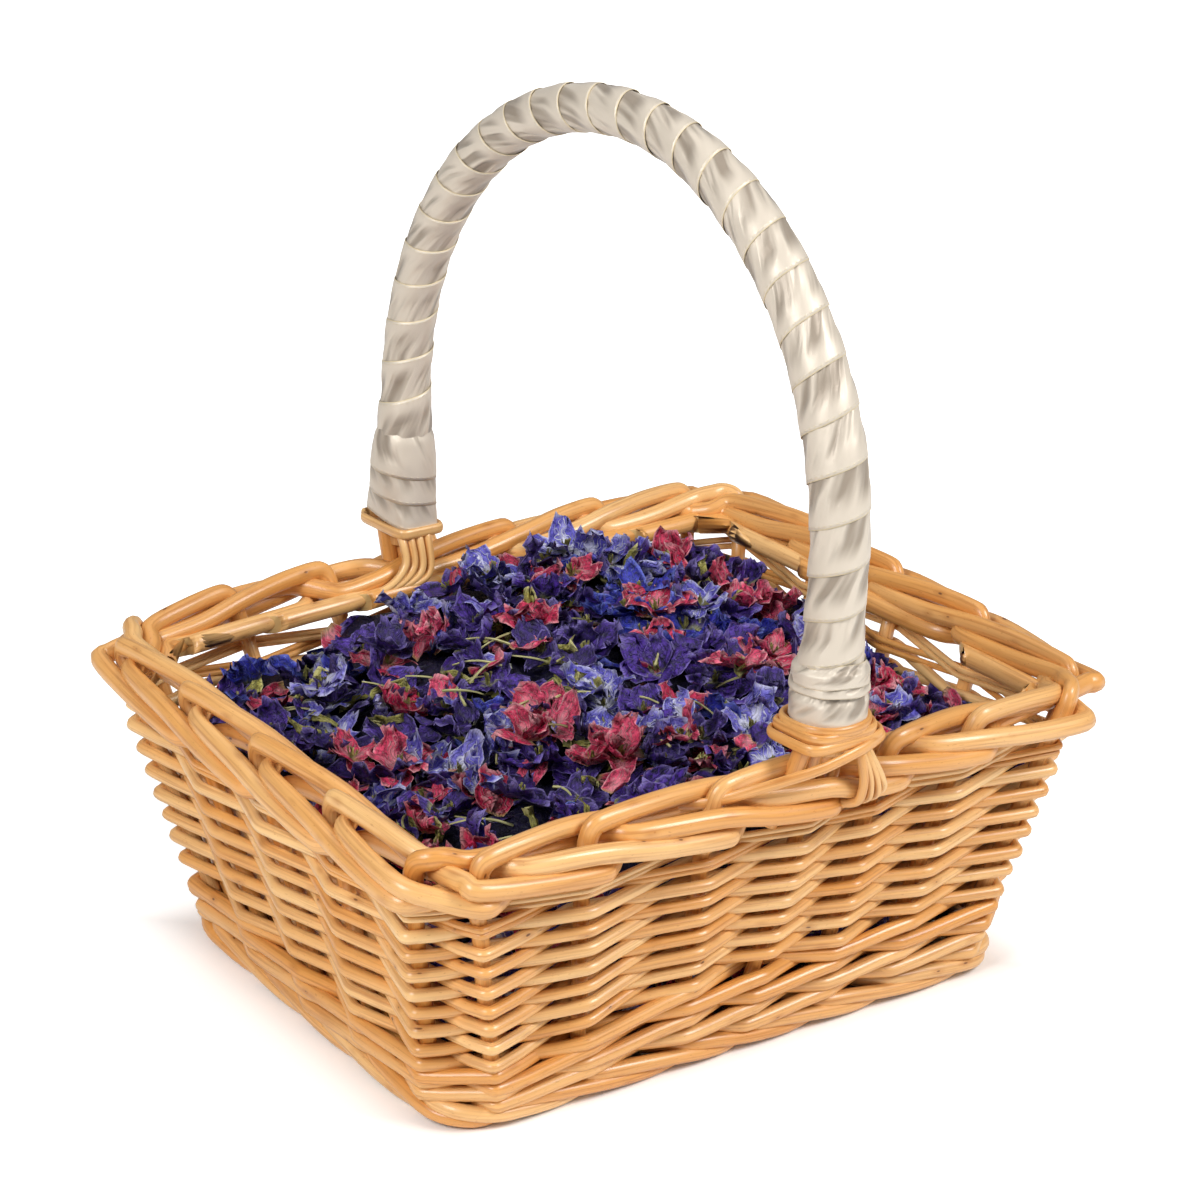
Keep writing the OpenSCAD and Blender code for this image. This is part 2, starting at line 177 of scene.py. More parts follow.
class BasketPetalSizes(bpy.types.PropertyGroup):
    """Sizes of the heap of dried petals."""

    edge_z: millimetres("Edge height", 93, "Height of the heap at the walls")
    top_z: millimetres("Top height", 112, "Height of the middle of the heap")
    limit_z: millimetres("Highest", 116.4, "Greatest height of the heap before its crown and its roughness")
    lump: millimetres("Lumps", 3.2, "Height of the lumps in the heap")
    fall: millimetres("Fall", 5, "Fall of the heap from its middle to the walls")
    slope: millimetres("Slope", 14, "Extra fall of the heap towards the left and right walls")
    crown: millimetres("Crown", 8, "Height of the loose florets heaped at the back")
    inset: millimetres("Inset", 12.8, "Distance of the heap from the stake line")
    petal_length: millimetres("Petal length", 15, "Length of one petal")
    spacing: millimetres("Spacing", 15.5, "Least distance between two scattered florets")
    pressed: whole_number("Pressed petals", 1300, "Number of petals flat against the sides of the heap")
    loose: whole_number("Loose petals", 460, "Number of single petals")
    stems: whole_number("Stems", 60, "Number of dry stems")
    seed: whole_number("Seed", 11, "Seed of the heap's layout")


class BasketColours(bpy.types.PropertyGroup):
    """Colours of the willow, the ribbon and the petals."""

    willow_pale: colour("Pale willow", "f5cb8c", "Palest skin of the peeled rods")
    willow_mid: colour("Willow", "e19e50", "Usual colour of the peeled rods")
    willow_deep: colour("Deep willow", "a65c17", "Streaks along the rods")
    willow_bud: colour("Bud scar", "5a2f12", "Small scars where the buds were")
    willow_cut: colour("Cut end", "dcb474", "Cut ends of the rods")
    willow_pith: colour("Pith", "a87c40", "Middle of a cut end")
    satin: colour("Satin", "ddd1c0", "Face of the ribbon")
    satin_fold: colour("Satin fold", "8c7d6d", "Shaded side of the ribbon's folds")
    selvedge: colour("Selvedge", "e2d2ac", "Woven edge of the ribbon")
    violet: colour("Violet", "321a6c", "Deep violet petals")
    # Dark violet is painted shade in the creases of the violet petals, and also colours their veins.
    violet_dark: colour("Dark violet", "0e0a28", "Creases of the deep violet petals")
    lavender: colour("Lavender", "625cc4", "Blue lavender petals")
    # Pale lavender is also painted highlight on the crease ridges of the lavender petals.
    lavender_pale: colour("Pale lavender", "e4e6f4", "Veins and middles of the lavender petals")
    blue: colour("Blue", "2028a0", "Royal blue petals")
    pink: colour("Pink", "cc2050", "Crimson pink petals")
    # Pale pink is also painted highlight on the crease ridges of the pink petals.
    pink_pale: colour("Pale pink", "f7c0c4", "Edges of the pink petals")
    stem: colour("Stem", "8f9158", "Dry stems and sepals")
    floor: colour("Floor", "fafafa", "Floor under the basket")


class BasketStageSettings(bpy.types.PropertyGroup):
    """Camera and light of the picture."""

    camera: point("Camera", (-0.7424, -1.1493, 0.7201), "Place of the camera")
    target: point("Target", (0, 0, 0.13), "Point that the camera looks at")
    lamp_target: point("Lamp target", (0, 0, 0.12), "Point that the lamps shine at")
    lens: number("Lens", 117.1, "Focal length", unit="CAMERA")
    shift_x: number("Shift X", 0.006, "Sideways shift of the frame")
    shift_y: number("Shift Y", 0.0341, "Upward shift of the frame")
    key: number("Key light", 30, "Power of the main lamp", unit="POWER")
    fill: number("Fill light", 24, "Power of the side lamp", unit="POWER")
    top: number("Top light", 4.8, "Power of the lamp over the basket", unit="POWER")
    ambient: number("Ambient", 0.22, "Strength of the light all round")


def chosen(group):
    """The values of one property group, as the user has set them."""
    return getattr(bpy.context.scene, f"basket_{group}")


def shade(name):
    """Scene colour of a colour property, or of a screen colour such as d9a866."""
    shades = chosen("colours")
    return tuple(getattr(shades, name)) if hasattr(shades, name) else linear(name)


# Shader expressions

class Value:
    """One socket of a finish. Sums on it add Math nodes."""

    def __init__(self, finish, socket):
        self.finish = finish
        self.socket = socket

    def math(self, operation, *others):
        return self.finish.math(operation, self, *others)

    def __add__(self, other):
        return self.math("ADD", other)

    __radd__ = __add__

    def __mul__(self, other):
        return self.math("MULTIPLY", other)

    __rmul__ = __mul__

    def __sub__(self, other):
        return self.math("SUBTRACT", other)

    def __rsub__(self, other):
        return self.finish.math("SUBTRACT", other, self)

    def __abs__(self):
        return self.math("ABSOLUTE")

    def between(self, low, high):
        """Runs smoothly from 0 at low to 1 at high."""
        return self.finish.node(
            "ShaderNodeMapRange",
            {"interpolation_type": "SMOOTHSTEP"},
            {"Value": self, "From Min": low, "From Max": high},
        )


class Finish:
    """A node material with one Principled shader."""

    def __init__(self, name):
        self.material = bpy.data.materials.new(name)
        self.material.use_nodes = True
        self.tree = self.material.node_tree
        self.shader = self.tree.nodes["Principled BSDF"]

    def node(self, kind, settings=None, inputs=None, output=0):
        """Adds a node: its settings first, then the values or links of its sockets."""
        made = self.tree.nodes.new(kind)
        for name, value in (settings or {}).items():
            setattr(made, name, value)
        for key, value in (inputs or {}).items():
            self.feed(made.inputs[key], value)
        return Value(self, made.outputs[output])

    def feed(self, socket, value):
        if isinstance(value, Value):
            self.tree.links.new(value.socket, socket)
        elif socket.type == "RGBA":
            socket.default_value = (*value, 1)
        else:
            socket.default_value = value

    def set(self, **inputs):
        """Sets the shader's own sockets."""
        for name, value in inputs.items():
            self.feed(self.shader.inputs[name.replace("_", " ")], value)

    def attribute(self, name, output="Fac"):
        return self.node("ShaderNodeAttribute", {"attribute_name": name}, output=output)

    def math(self, operation, *values):
        return self.node("ShaderNodeMath", {"operation": operation}, dict(enumerate(values)))

    def split(self, vector):
        """First two parts of a vector."""
        return [self.node("ShaderNodeSeparateXYZ", inputs={0: vector}, output=axis) for axis in (0, 1)]

    def stretched(self, vector, scale):
        return self.node("ShaderNodeMapping", inputs={"Vector": vector, "Scale": scale})

    def noise(self, vector, detail, roughness=0.5):
        inputs = {"Vector": vector, "Scale": 1.0, "Detail": detail, "Roughness": roughness}
        return self.node("ShaderNodeTexNoise", inputs=inputs)

    def mix(self, factor, low, high):
        settings = {"data_type": "RGBA", "clamp_factor": True}
        return self.node("ShaderNodeMix", settings, {0: factor, 6: low, 7: high}, output=2)

    def bump(self, height, distance, strength):
        inputs = {"Height": height, "Distance": distance, "Strength": strength}
        return self.node("ShaderNodeBump", inputs=inputs)


def willow_finish(name):
    """Peeled buff willow: streaks along the rod, bud scars, and pith at the cut ends."""
    f = Finish(name)
    grain = f.attribute("grain", "Vector")
    tone = f.attribute("tone")
    cut = f.attribute("cut")
    streaks = f.noise(f.stretched(grain, (900, 900, 22)), detail=3)
    blotches = f.noise(f.stretched(grain, (110, 110, 16)), detail=2)
    pale = (tone * 0.55 + blotches * 0.75 - 0.3 + PALE_SHARES[name]).between(0, 1)
    skin = f.mix(pale, shade("willow_mid"), shade("willow_pale"))
    skin = f.mix(streaks.between(0.42, 0.75) * 0.5, skin, shade("willow_deep"))
    buds = f.stretched(grain, (150, 150, 60))
    near = f.node("ShaderNodeTexVoronoi", inputs={"Vector": buds, "Scale": 1.0}) + blotches * 0.1 - 0.05
    scar = 1 - near.between(0.03, 0.08)
    halo = 1 - near.between(0.06, 0.3)
    flecks = f.noise(f.stretched(grain, (1500, 1500, 500)), detail=1).between(0.68, 0.74)
    skin = f.mix(halo * 0.35 + flecks * 0.3, skin, shade("willow_deep"))
    skin = f.mix(scar * 0.85, skin, shade("willow_bud"))
    end = f.mix(cut.between(1.55, 1.75), shade("willow_cut"), shade("willow_pith"))
    is_end = cut.between(0.3, 0.7)
    f.set(
        Base_Color=f.mix(is_end, skin, end),
        Roughness=0.27 + streaks * 0.2 + is_end * 0.25,
        Normal=f.bump(streaks * 0.6 + blotches * 0.5 - scar * 0.5, 0.0004, 0.55),
    )
    f.set(Specular_IOR_Level=0.6, Coat_Weight=0.35, Coat_Roughness=0.24)
    return f.material


def satin_finish(name):
    """Ivory satin with a golden woven edge, fine threads along the ribbon, and painted shade in its folds."""
    f = Finish(name)
    place = f.node("ShaderNodeUVMap", {"uv_map": "ribbon"})
    across, along = f.split(place)
    edge = across.math("MINIMUM", 1 - across)
    picot = (along * 2800).math("SINE").between(-0.4, 0.6)
    hem = 1 - edge.between(0.01, 0.018)
    stitch = (1 - abs(edge - 0.045).between(0.006, 0.014)) * picot
    threads = f.noise(f.stretched(place, (260, 90, 1)), detail=2)
    wander = f.noise(f.stretched(place, (2, 45, 1)), detail=1)
    lengthwise = along * 170 - across * 1.8 + wander * 0.7
    slanted = f.node("ShaderNodeCombineXYZ", inputs={0: across * 0.7, 1: lengthwise})
    # Painted shade: the fold pattern darkens the face towards the fold shade colour where shade falls in the
    # folds; the same pattern also bumps it.
    folds = f.noise(slanted, detail=1.5, roughness=0.45).between(0.4, 0.66) * across.between(0.1, 0.4)
    face = f.mix(folds * 0.8, shade("satin"), shade("satin_fold"))
    f.set(
        Base_Color=f.mix((hem * 0.85 + stitch * 0.35).math("MINIMUM", 1.0), face, shade("selvedge")),
        Roughness=0.38 + threads * 0.12 + hem * 0.25,
        Normal=f.bump(threads * 0.05 + stitch * 0.12 - folds, 0.0011, 0.7),
    )
    f.set(Metallic=0.2, Specular_IOR_Level=0.5, Sheen_Weight=0.2, Sheen_Roughness=0.4)
    return f.material


def petal_finish(name):
    """Dried petal: papery and creased, with painted shade in its creases, painted highlight on their ridges,
    and a pale heart that fans out from its foot.
    """
    *names, heart = PETAL_SHADES[name]
    deep, usual, vivid, pale = (shade(part) for part in names)
    f = Finish(name)
    across, along = f.split(f.node("ShaderNodeUVMap", {"uv_map": "petal"}))
    tone = f.attribute("tone")
    spot = f.node("ShaderNodeTexCoord", output="Object")
    creases = f.noise(f.stretched(spot, (420, 420, 420)), detail=4, roughness=0.65)
    clouds = f.noise(f.stretched(spot, (150, 150, 150)), detail=2)
    wander = f.noise(f.stretched(spot, (260, 260, 260)), detail=1)
    ribs = ((across + wander * 0.5) * 44).math("SINE").between(0.3, 1.0)
    off_middle = abs(across - 0.5) * 2
    middle = (1 - off_middle) * (1.2 - along) + ribs * 0.3 + clouds * 0.6 - 0.45
    rim = off_middle.math("MAXIMUM", along).between(0.82, 1.0)
    skin = f.mix((tone * 0.9 + clouds * 0.8 - 0.5).between(0, 1), usual, vivid)
    skin = f.mix(ribs * 0.35, skin, deep)
    # Painted shade: the deep colour fills the low parts of the crease pattern.
    skin = f.mix((creases * 3.4 - 1.1).between(0, 1), deep, skin)
    # Pale edges are the petal's own colour; pale on the crease ridges is painted highlight.
    skin = f.mix((rim * 0.5 + creases.between(0.6, 0.75) * 0.5).between(0, 1), skin, pale)
    skin = f.mix(middle.between(0.2, 0.7) * heart, skin, pale)
    f.set(
        Base_Color=f.mix((1 - along.between(0.0, 0.2)) * 0.6, skin, shade("a9ab5c")),
        Roughness=0.34 + creases * 0.35,
        Normal=f.bump(creases + ribs * 0.5, 0.0014, 0.9),
    )
    f.set(Specular_IOR_Level=0.45)
    return f.material


def stem_finish(name):
    """Dry grey green stems."""
    f = Finish(name)
    streaks = f.noise(f.stretched(f.attribute("grain", "Vector"), (2500, 2500, 160)), detail=2)
    skin = f.mix(f.attribute("tone"), shade("6f5f36"), shade("stem"))
    f.set(
        Base_Color=f.mix(streaks.between(0.3, 0.7), skin, shade("c9c48e")),
        Roughness=0.6 + streaks * 0.2,
        Normal=f.bump(streaks, 0.0003, 0.5),
    )
    return f.material


def finish_named(name):
    """The shared finish of that name, made when it is first asked for."""
    makers = {"willow": willow_finish, "satin": satin_finish, "petals": petal_finish, "stems": stem_finish}
    return bpy.data.materials.get(name) or makers[name.split()[-1]](name)


# Wall and handle lines

class WallLine:
    """Middle lines of the upright stakes, counted round the wall from the front left corner."""

    def __init__(self):
        s = chosen("wall")
        self.base = (s.base_length / 2 - s.weave_reach, s.base_width / 2 - s.weave_reach)
        self.flare = (
            (s.top_length - s.base_length) / 2 / s.wall_height,
            (s.top_width - s.base_width) / 2 / s.wall_height,
        )
        self.cut = s.corner_cut
        self.rise = s.border_rise
        self.top = s.wall_height
        self.stakes = [(0, place) for place in FRONT_PLACES]
        for wall, gaps in OTHER_WALLS:
            self.stakes += [(wall, 2 * k / gaps - 1) for k in range(gaps + 1)]
        self.count = len(self.stakes)
        self.foot_z = s.wall_height + HANDLE_FOOT_RISE * MM

    def half(self, z):
        """Half length and half width of the stake line at a height."""
        return self.base[0] + self.flare[0] * z, self.base[1] + self.flare[1] * z

    def is_corner(self, j):
        return abs(self.stakes[j % self.count][1]) == 1

    def on_side(self, side):
        """Numbers of the stakes of one wall."""
        return [j for j in range(self.count) if self.stakes[j][0] == side]

    def foot_shift(self, wall):
        """Distance of a foot of the handle from the middle of its wall."""
        h = chosen("handle")
        span = self.half(self.foot_z)[1] / math.cos(h.yaw)
        return span * math.sin(h.yaw) + (h.foot_x if wall == 0 else -h.foot_x)

    def at(self, j, z):
        """Middle of a stake at a height."""
        wall, place = self.stakes[j % self.count]
        along, out = self.half(z) if wall % 2 == 0 else reversed(self.half(z))
        shift = self.foot_shift(wall) * z / self.foot_z if j % self.count in FEET else 0
        beside = Vector((place * (along - self.cut) + shift, -out, z))
        return Matrix.Rotation(wall * math.pi / 2, 3, "Z") @ beside

    def out(self, j):
        """Way out of the wall at a stake."""
        wall, place = self.stakes[j % self.count]
        turn = math.copysign(CORNER_TURN, place) if self.is_corner(j) else 0
        return Matrix.Rotation(wall * math.pi / 2 + turn, 3, "Z") @ Vector((0, -1, 0))

    def point(self, u, n, z):
        """Point beside the wall: u counts stakes, n is the distance out of the stake line."""
        j = math.floor(u)
        return self.at(j, z).lerp(self.at(j + 1, z), u - j) + n * self.way(u)

    def way(self, u):
        """Way out of the wall at any place round it."""
        j = math.floor(u)
        return self.out(j).lerp(self.out(j + 1), u - j).normalized()

    def rise_at(self, u):
        """Rise of the border, which is lower at the corners."""
        j = math.floor(u)
        low, high = (CORNER_RISE * MM if self.is_corner(k) else self.rise for k in (j, j + 1))
        return low + (high - low) * (u - j)

    def wale_top(self, u):
        """Height of the top of the wale, which climbs round the basket."""
        return along_list(WALE_TOPS, u % self.count) * MM

    def weave_top(self, u):
        """Height of the top of the weave."""
        return along_list(WEAVE_TOPS, u % self.count) * MM

    def border_z(self, u, h):
        """Height of a point of the border that is h above the weave where the border is highest."""
        full = BORDER_HEIGHT * MM
        low = self.weave_top(u) + BORDER_START * MM
        top = self.top + BORDER_START * MM + full + self.rise_at(u)
        return low + h * min(BORDER_STRETCH, (top - low) / full)

    def space(self, j):
        """Distance from a stake to the next one at the top of the weave."""
        return (self.at(j + 1, self.top) - self.at(j, self.top)).length


class HandleLine:
    """Middle line of the handle's bow, by the distance along it from the front foot."""

    def __init__(self):
        h = chosen("handle")
        wall = WallLine()
        self.foot_z = wall.foot_z
        self.span = wall.half(self.foot_z)[1] / math.cos(h.yaw)
        self.leg = h.spring - self.foot_z
        self.rise = (h.top - self.foot_z) / math.cos(h.lean) - self.leg
        self.arch = math.pi * (self.span + self.rise) / 2
        self.length = 2 * self.leg + self.arch
        self.place = (
            Matrix.Translation((h.foot_x, 0, self.foot_z))
            @ Matrix.Rotation(h.yaw, 4, "Z")
            @ Matrix.Rotation(h.lean, 4, "Y")
        )

    def at(self, s):
        """Point on the middle line."""
        if s < self.leg:
            p = (0, -self.span, s)
        elif s > self.length - self.leg:
            p = (0, self.span, self.length - s)
        else:
            a = math.pi * (s - self.leg) / self.arch
            p = (0, -self.span * math.cos(a), self.leg + self.rise * math.sin(a))
        return self.place @ Vector(p)

    def around(self, s, angle, radius):
        """Point at an angle round the bow, from the side that faces +X."""
        step = 0.5 * MM
        course = (self.at(s + step) - self.at(s - step)).normalized()
        side = (self.place.to_3x3() @ Vector((1, 0, 0))).normalized()
        up = course.cross(side)
        return self.at(s) + radius * (math.cos(angle) * side + math.sin(angle) * up)


PER_SPAN = 4


def smooth_path(points, per_span=PER_SPAN):
    """Points along a smooth curve through the given ones."""
    path = []
    last = len(points) - 1
    for i in range(last):
        p0, p1, p2, p3 = (points[min(max(k, 0), last)] for k in (i - 1, i, i + 1, i + 2))
        for k in range(per_span):
            t = k / per_span
            second = (2 * p0 - 5 * p1 + 4 * p2 - p3) * t * t
            third = (3 * p1 - p0 - 3 * p2 + p3) * t ** 3
            path.append(p1 + ((p2 - p0) * t + second + third) * 0.5)
    return path + [points[-1].copy()]


def along_list(stops, place):
    """Value at a place in a list of (place, value) stops."""
    for (a, low), (b, high) in zip(stops, stops[1:]):
        if place <= b:
            f = max(0, (place - a) / (b - a))
            return low + (high - low) * f * f * (3 - 2 * f)
    return stops[-1][1]


# Meshes

class JoinedMesh:
    """A mesh that grows by one small mesh after another."""

    def __init__(self):
        self.whole = bmesh.new()
        self.add_layers(self.whole)
        self.joint = bpy.data.meshes.new("joint")

    def join(self, bm):
        bm.to_mesh(self.joint)
        bm.free()
        self.whole.from_mesh(self.joint, face_normals=False, vertex_normals=False)

    def make(self, name, nodes, slot, finish, body):
        """Makes the mesh a piece that stands for its nodes."""
        bpy.data.meshes.remove(self.joint)
        make_piece(self.whole, name, nodes, finish, body)


# Rings of a cut end: size, rise by the radius, and the mark that the finish reads
CUT_RINGS = ((0.9, 0.07, 1), (0.32, 0.02, 1.4), (0.16, 0, 2))


class RodMesh(JoinedMesh):
    """A mesh of willow rods. Each rod is a circle that is extruded along its path."""

    def __init__(self, seed):
        super().__init__()
        self.rng = random.Random(seed)

    def add_layers(self, bm):
        self.grain = bm.verts.layers.float_vector.new("grain")
        self.tone = bm.verts.layers.float.new("tone")
        self.cut = bm.verts.layers.float.new("cut")

    def stand_for(self, node, slot="willow"):
        """Makes the rods the piece that stands for one node of the basket."""
        self.make(f"{node}_willow", [node], slot, WILLOW_FINISHES[slot], BASKET)

    def tapered(self, path, start, end, sides=10):
        """Adds a rod with nothing but an even taper."""
        self.rod(path, taper(len(path), start, end, self.rng), sides)

    def frames(self, path, ups):
        """Turned axes along the path, with the rod's own length as Z."""
        last = len(path) - 1
        courses = [(path[min(k + 1, last)] - path[max(k - 1, 0)]).normalized() for k in range(last + 1)]
        turn = Vector((0, 0, 1)).rotation_difference(courses[0])
        turns = []
        for k, course in enumerate(courses):
            if ups:
                side = ups[k].cross(course).normalized()
                turns.append(Matrix((side, course.cross(side), course)).transposed())
                continue
            if k:
                turn = courses[k - 1].rotation_difference(course) @ turn
            turns.append(turn.to_matrix())
        return turns

    def rod(self, path, radii, sides, ups=None, flats=None, faces=(None, None)):
        """Adds one rod. flats stretch or squeeze it across ups; faces are the ways its cut ends look."""
        rng = self.rng
        self.bm = bmesh.new()
        self.add_layers(self.bm)
        turns = self.frames(path, ups)
        places = [
            Matrix.Translation(p) @ t.to_4x4() @ Matrix.Diagonal((r * flat, r, r, 1))
            for p, t, r, flat in zip(path, turns, radii, flats or [1] * len(path))
        ]
        ring = bmesh.ops.create_circle(self.bm, segments=sides, radius=1)["verts"]
        offset = Vector((rng.uniform(-1, 1), rng.uniform(-1, 1), rng.uniform(-1, 1)))
        tone = rng.random()
        for v in ring:
            v[self.grain] = Vector((v.co.x * radii[0], v.co.y * radii[0], 0)) + offset
            v[self.tone] = tone
        edges = list({e for v in ring for e in v.link_edges})
        bmesh.ops.transform(self.bm, matrix=places[0], verts=ring)
        self.close(edges, path[0], -turns[0].col[2], faces[0], radii[0])
        for k in range(1, len(path)):
            step = (path[k] - path[k - 1]).length
            _, edges = self.extend(edges, places[k] @ places[k - 1].inverted(), step)
        self.close(edges, path[-1], turns[-1].col[2], faces[1], radii[-1])
        bmesh.ops.recalc_face_normals(self.bm, faces=self.bm.faces)
        self.join(self.bm)

    def extend(self, edges, matrix, step):
        """Extrudes an open end and moves its new ring, a step further along the grain."""
        made = bmesh.ops.extrude_edge_only(self.bm, edges=edges)["geom"]
        ring = [g for g in made if isinstance(g, bmesh.types.BMVert)]
        edges = [g for g in made if isinstance(g, bmesh.types.BMEdge) and all(v in ring for v in g.verts)]
        bmesh.ops.transform(self.bm, matrix=matrix, verts=ring)
        for v in ring:
            v[self.grain] = v[self.grain] + Vector((0, 0, step))
        return ring, edges

    def close(self, edges, middle, course, face, radius):
        """Closes an open end with a cut face, its pith ring and its middle."""
        if face is not None:
            way = (course + face).normalized()
            lean = way - course * way.dot(course)
            shear = Matrix.Identity(3)
            for row in range(3):
                for col in range(3):
                    shear[row][col] -= course[row] * lean[col] / way.dot(course)
            ends = {v for e in edges for v in e.verts}
            for v in ends:
                v.co = middle + shear @ (v.co - middle)
        for shrink, rise, mark in CUT_RINGS:
            place = Matrix.Translation(middle + course * radius * rise)
            matrix = place @ Matrix.Scale(shrink, 4) @ Matrix.Translation(-middle)
            ring, edges = self.extend(edges, matrix, 0)
            for v in ring:
                v[self.cut] = mark
        bmesh.ops.edgeloop_fill(self.bm, edges=edges)


def make_piece(bm, name, nodes, finish, body):
    """Turns a bmesh into a piece that rides on a body and stands for its nodes."""
    mesh = bpy.data.meshes.new(name)
    for face in bm.faces:
        face.smooth = True
    bm.to_mesh(mesh)
    bm.free()
    if not mesh.polygons:
        raise RuntimeError(f"{name} has no faces")
    piece = bpy.data.objects.new(name, mesh)
    bpy.context.scene.collection.objects.link(piece)
    mesh.materials.append(finish_named(finish))
    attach(piece, body)
    if nodes:
        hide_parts(*nodes)
    return piece


def waver(seed, place, depth):
    """Small smooth wander of a handmade rod."""
    return noise.noise(Vector((place, seed * 7.31, 0.5))) * depth


def taper(count, start, end, rng, wander=0.05):
    """Radii along a rod, from one end to the other, a little uneven."""
    phase = rng.uniform(0, 9)
    return [
        start + (end - start) * k / (count - 1) + waver(phase, k * 0.13, start * wander) for k in range(count)
    ]


def woven_path(wall, level, places, first, swing, seed):
    """Path of one weaving rod: straight from stake to stake, bent over each one. level gives its height."""
    bend = 0.06
    shares = (0, 0.02, 0.04, 0.06, 0.3, 0.7, 0.94, 0.96, 0.98)
    wander = 0.9 * MM
    points = []
    for i in range(wall.count):
        j = first + i
        a, b = places(j), places(j + 1)
        for f in shares:
            if f < bend:
                ease = f * f / (2 * bend * (1 - bend))
            elif f > 1 - bend:
                ease = 1 - (1 - f) ** 2 / (2 * bend * (1 - bend))
            else:
                ease = (f - bend / 2) / (1 - bend)
            u = j + f
            n = swing * (a + (b - a) * ease)
            points.append(wall.point(u, n, level(u) + waver(seed, u * 0.4, wander)))
    points.append(wall.point(first + wall.count, swing * places(first), level(first)))
    return points


class BASKET_OT_base(bpy.types.Operator):
    """Makes the sticks and weavers of the base"""

    bl_idname = "basket.base"
    bl_label = "Base"

    def execute(self, context):
        s = chosen("wall")
        low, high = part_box("base_sticks")
        count = 9
        steps = 12
        wander = 1 * MM
        middle_z = (low.z + high.z) / 2
        rows = [low.y + s.stick_d / 2 + (high.y - low.y - s.stick_d) * k / (count - 1) for k in range(count)]
        sticks = RodMesh(SEEDS["base_sticks"])
        for k, y in enumerate(rows):
            path = []
            for i in range(steps + 1):
                x = low.x + (high.x - low.x) * i / steps
                path.append(Vector((x, y + waver(k, i * 0.4, wander), middle_z)))
            sticks.tapered(path, s.stick_d / 2, s.stick_d / 2.3)
        sticks.stand_for("base_sticks")
        low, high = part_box("base_weavers")
        pitch = 5.3 * MM
        thick = 2.1 * MM
        straight = 1.6 * MM
        swing = s.stick_d / 2 + 1.8 * MM
        weavers = RodMesh(SEEDS["base_weavers"])
        for i in range(int((high.x - low.x) / pitch)):
            x = low.x + pitch * (i + 0.5)
            points = []
            for k, y in enumerate(rows):
                z = middle_z + (swing if (i + k) % 2 == 0 else -swing)
                points += [Vector((x, y + reach, z)) for reach in (-straight, straight)]
            path = smooth_path(points, 2)
            weavers.rod(path, [thick] * len(path), 8)
        weavers.stand_for("base_weavers")
        return {"FINISHED"}


class BASKET_OT_foot(bpy.types.Operator):
    """Makes the rods of the foot, each lying over the next"""

    bl_idname = "basket.foot"
    bl_label = "Foot"

    def execute(self, context):
        s = chosen("wall")
        wall = WallLine()
        low = s.foot_d / 2 / MM
        corner_bulge = 4
        route = [
            (-0.3, -5, 9.6), (-0.1, 0, 9.4), (0.12, 4, 9), (0.5, 5.6, 8), (0.95, 6.4, 6), (1.3, 6.4, 4.4),
            (1.65, 5.4, low), (1.95, 3, low), (2.2, -1, low), (2.5, -8, low),
        ]
        for side, name in enumerate(SIDES):
            rods = RodMesh(SEEDS["foot"] + side)
            for j in wall.on_side(side):
                points = []
                for place, n, z in route:
                    u = j + place
                    turns = wall.is_corner(math.floor(u)) and wall.is_corner(math.ceil(u))
                    bulge = corner_bulge * math.sin(math.pi * (u % 1)) if turns else 0
                    points.append(wall.point(u, (n + bulge) * MM, z * MM))
                rods.tapered(smooth_path(points), s.foot_d / 2, s.foot_d / 2.6, 12)
            rods.stand_for(f"foot_{name}")
        return {"FINISHED"}


class BASKET_OT_wale(bpy.types.Operator):
    """Makes the heavy rods at the bottom of the wall, outside two stakes and inside one"""

    bl_idname = "basket.wale"
    bl_label = "Wale"

    def execute(self, context):
        s = chosen("wall")
        wall = WallLine()
        swing = (s.stake_d + s.wale_d) / 2
        lean = ((0, 0), (1, -1.8), (2, 1.8), (3, 0))
        start = 9
        for k in range(1, WALE_COUNT + 1):
            rods = RodMesh(SEEDS["wale"] + k)
            first = start + (3 - k % 3) % 3

            def level(u):
                step = (k - 0.5) / WALE_COUNT * (wall.wale_top(u) - s.weave_z)
                return s.weave_z + step + along_list(lean, (u + k) % 3) * MM

            def side(j):
                return -1 if (j + k) % 3 == 0 else 1

            path = woven_path(wall, level, side, first, swing, SEEDS["wale"] + k)
            rods.tapered(path, s.wale_d / 2, s.wale_d / 2.15)
            rods.stand_for(f"wale_rod_{k}")
        return {"FINISHED"}


class BASKET_OT_stakes(bpy.types.Operator):
    """Makes the corner posts and the upright stakes"""

    bl_idname = "basket.stakes"
    bl_label = "Stakes"

    def execute(self, context):
        s = chosen("wall")
        wall = WallLine()
        groups = [("corner_posts", [j for j in range(wall.count) if wall.is_corner(j)])]
        for side, name in enumerate(SIDES):
            plain = [j for j in wall.on_side(side) if not wall.is_corner(j) and j not in FEET]
            groups.append((f"stakes_{name}", plain))
        steps = 10
        for k, (node, stakes) in enumerate(groups):
            rods = RodMesh(SEEDS["stakes"] + k)
            for j in stakes:
                rise = wall.weave_top(j) + BORDER_START * MM - s.weave_z
                heights = [s.weave_z + rise * i / steps for i in range(steps + 1)]
                path = [wall.point(j + waver(j, z * 60, 0.02), 0, z) for z in heights]
                rods.tapered(path, s.stake_d / 2, s.stake_d / 2)
            rods.stand_for(node)
        return {"FINISHED"}


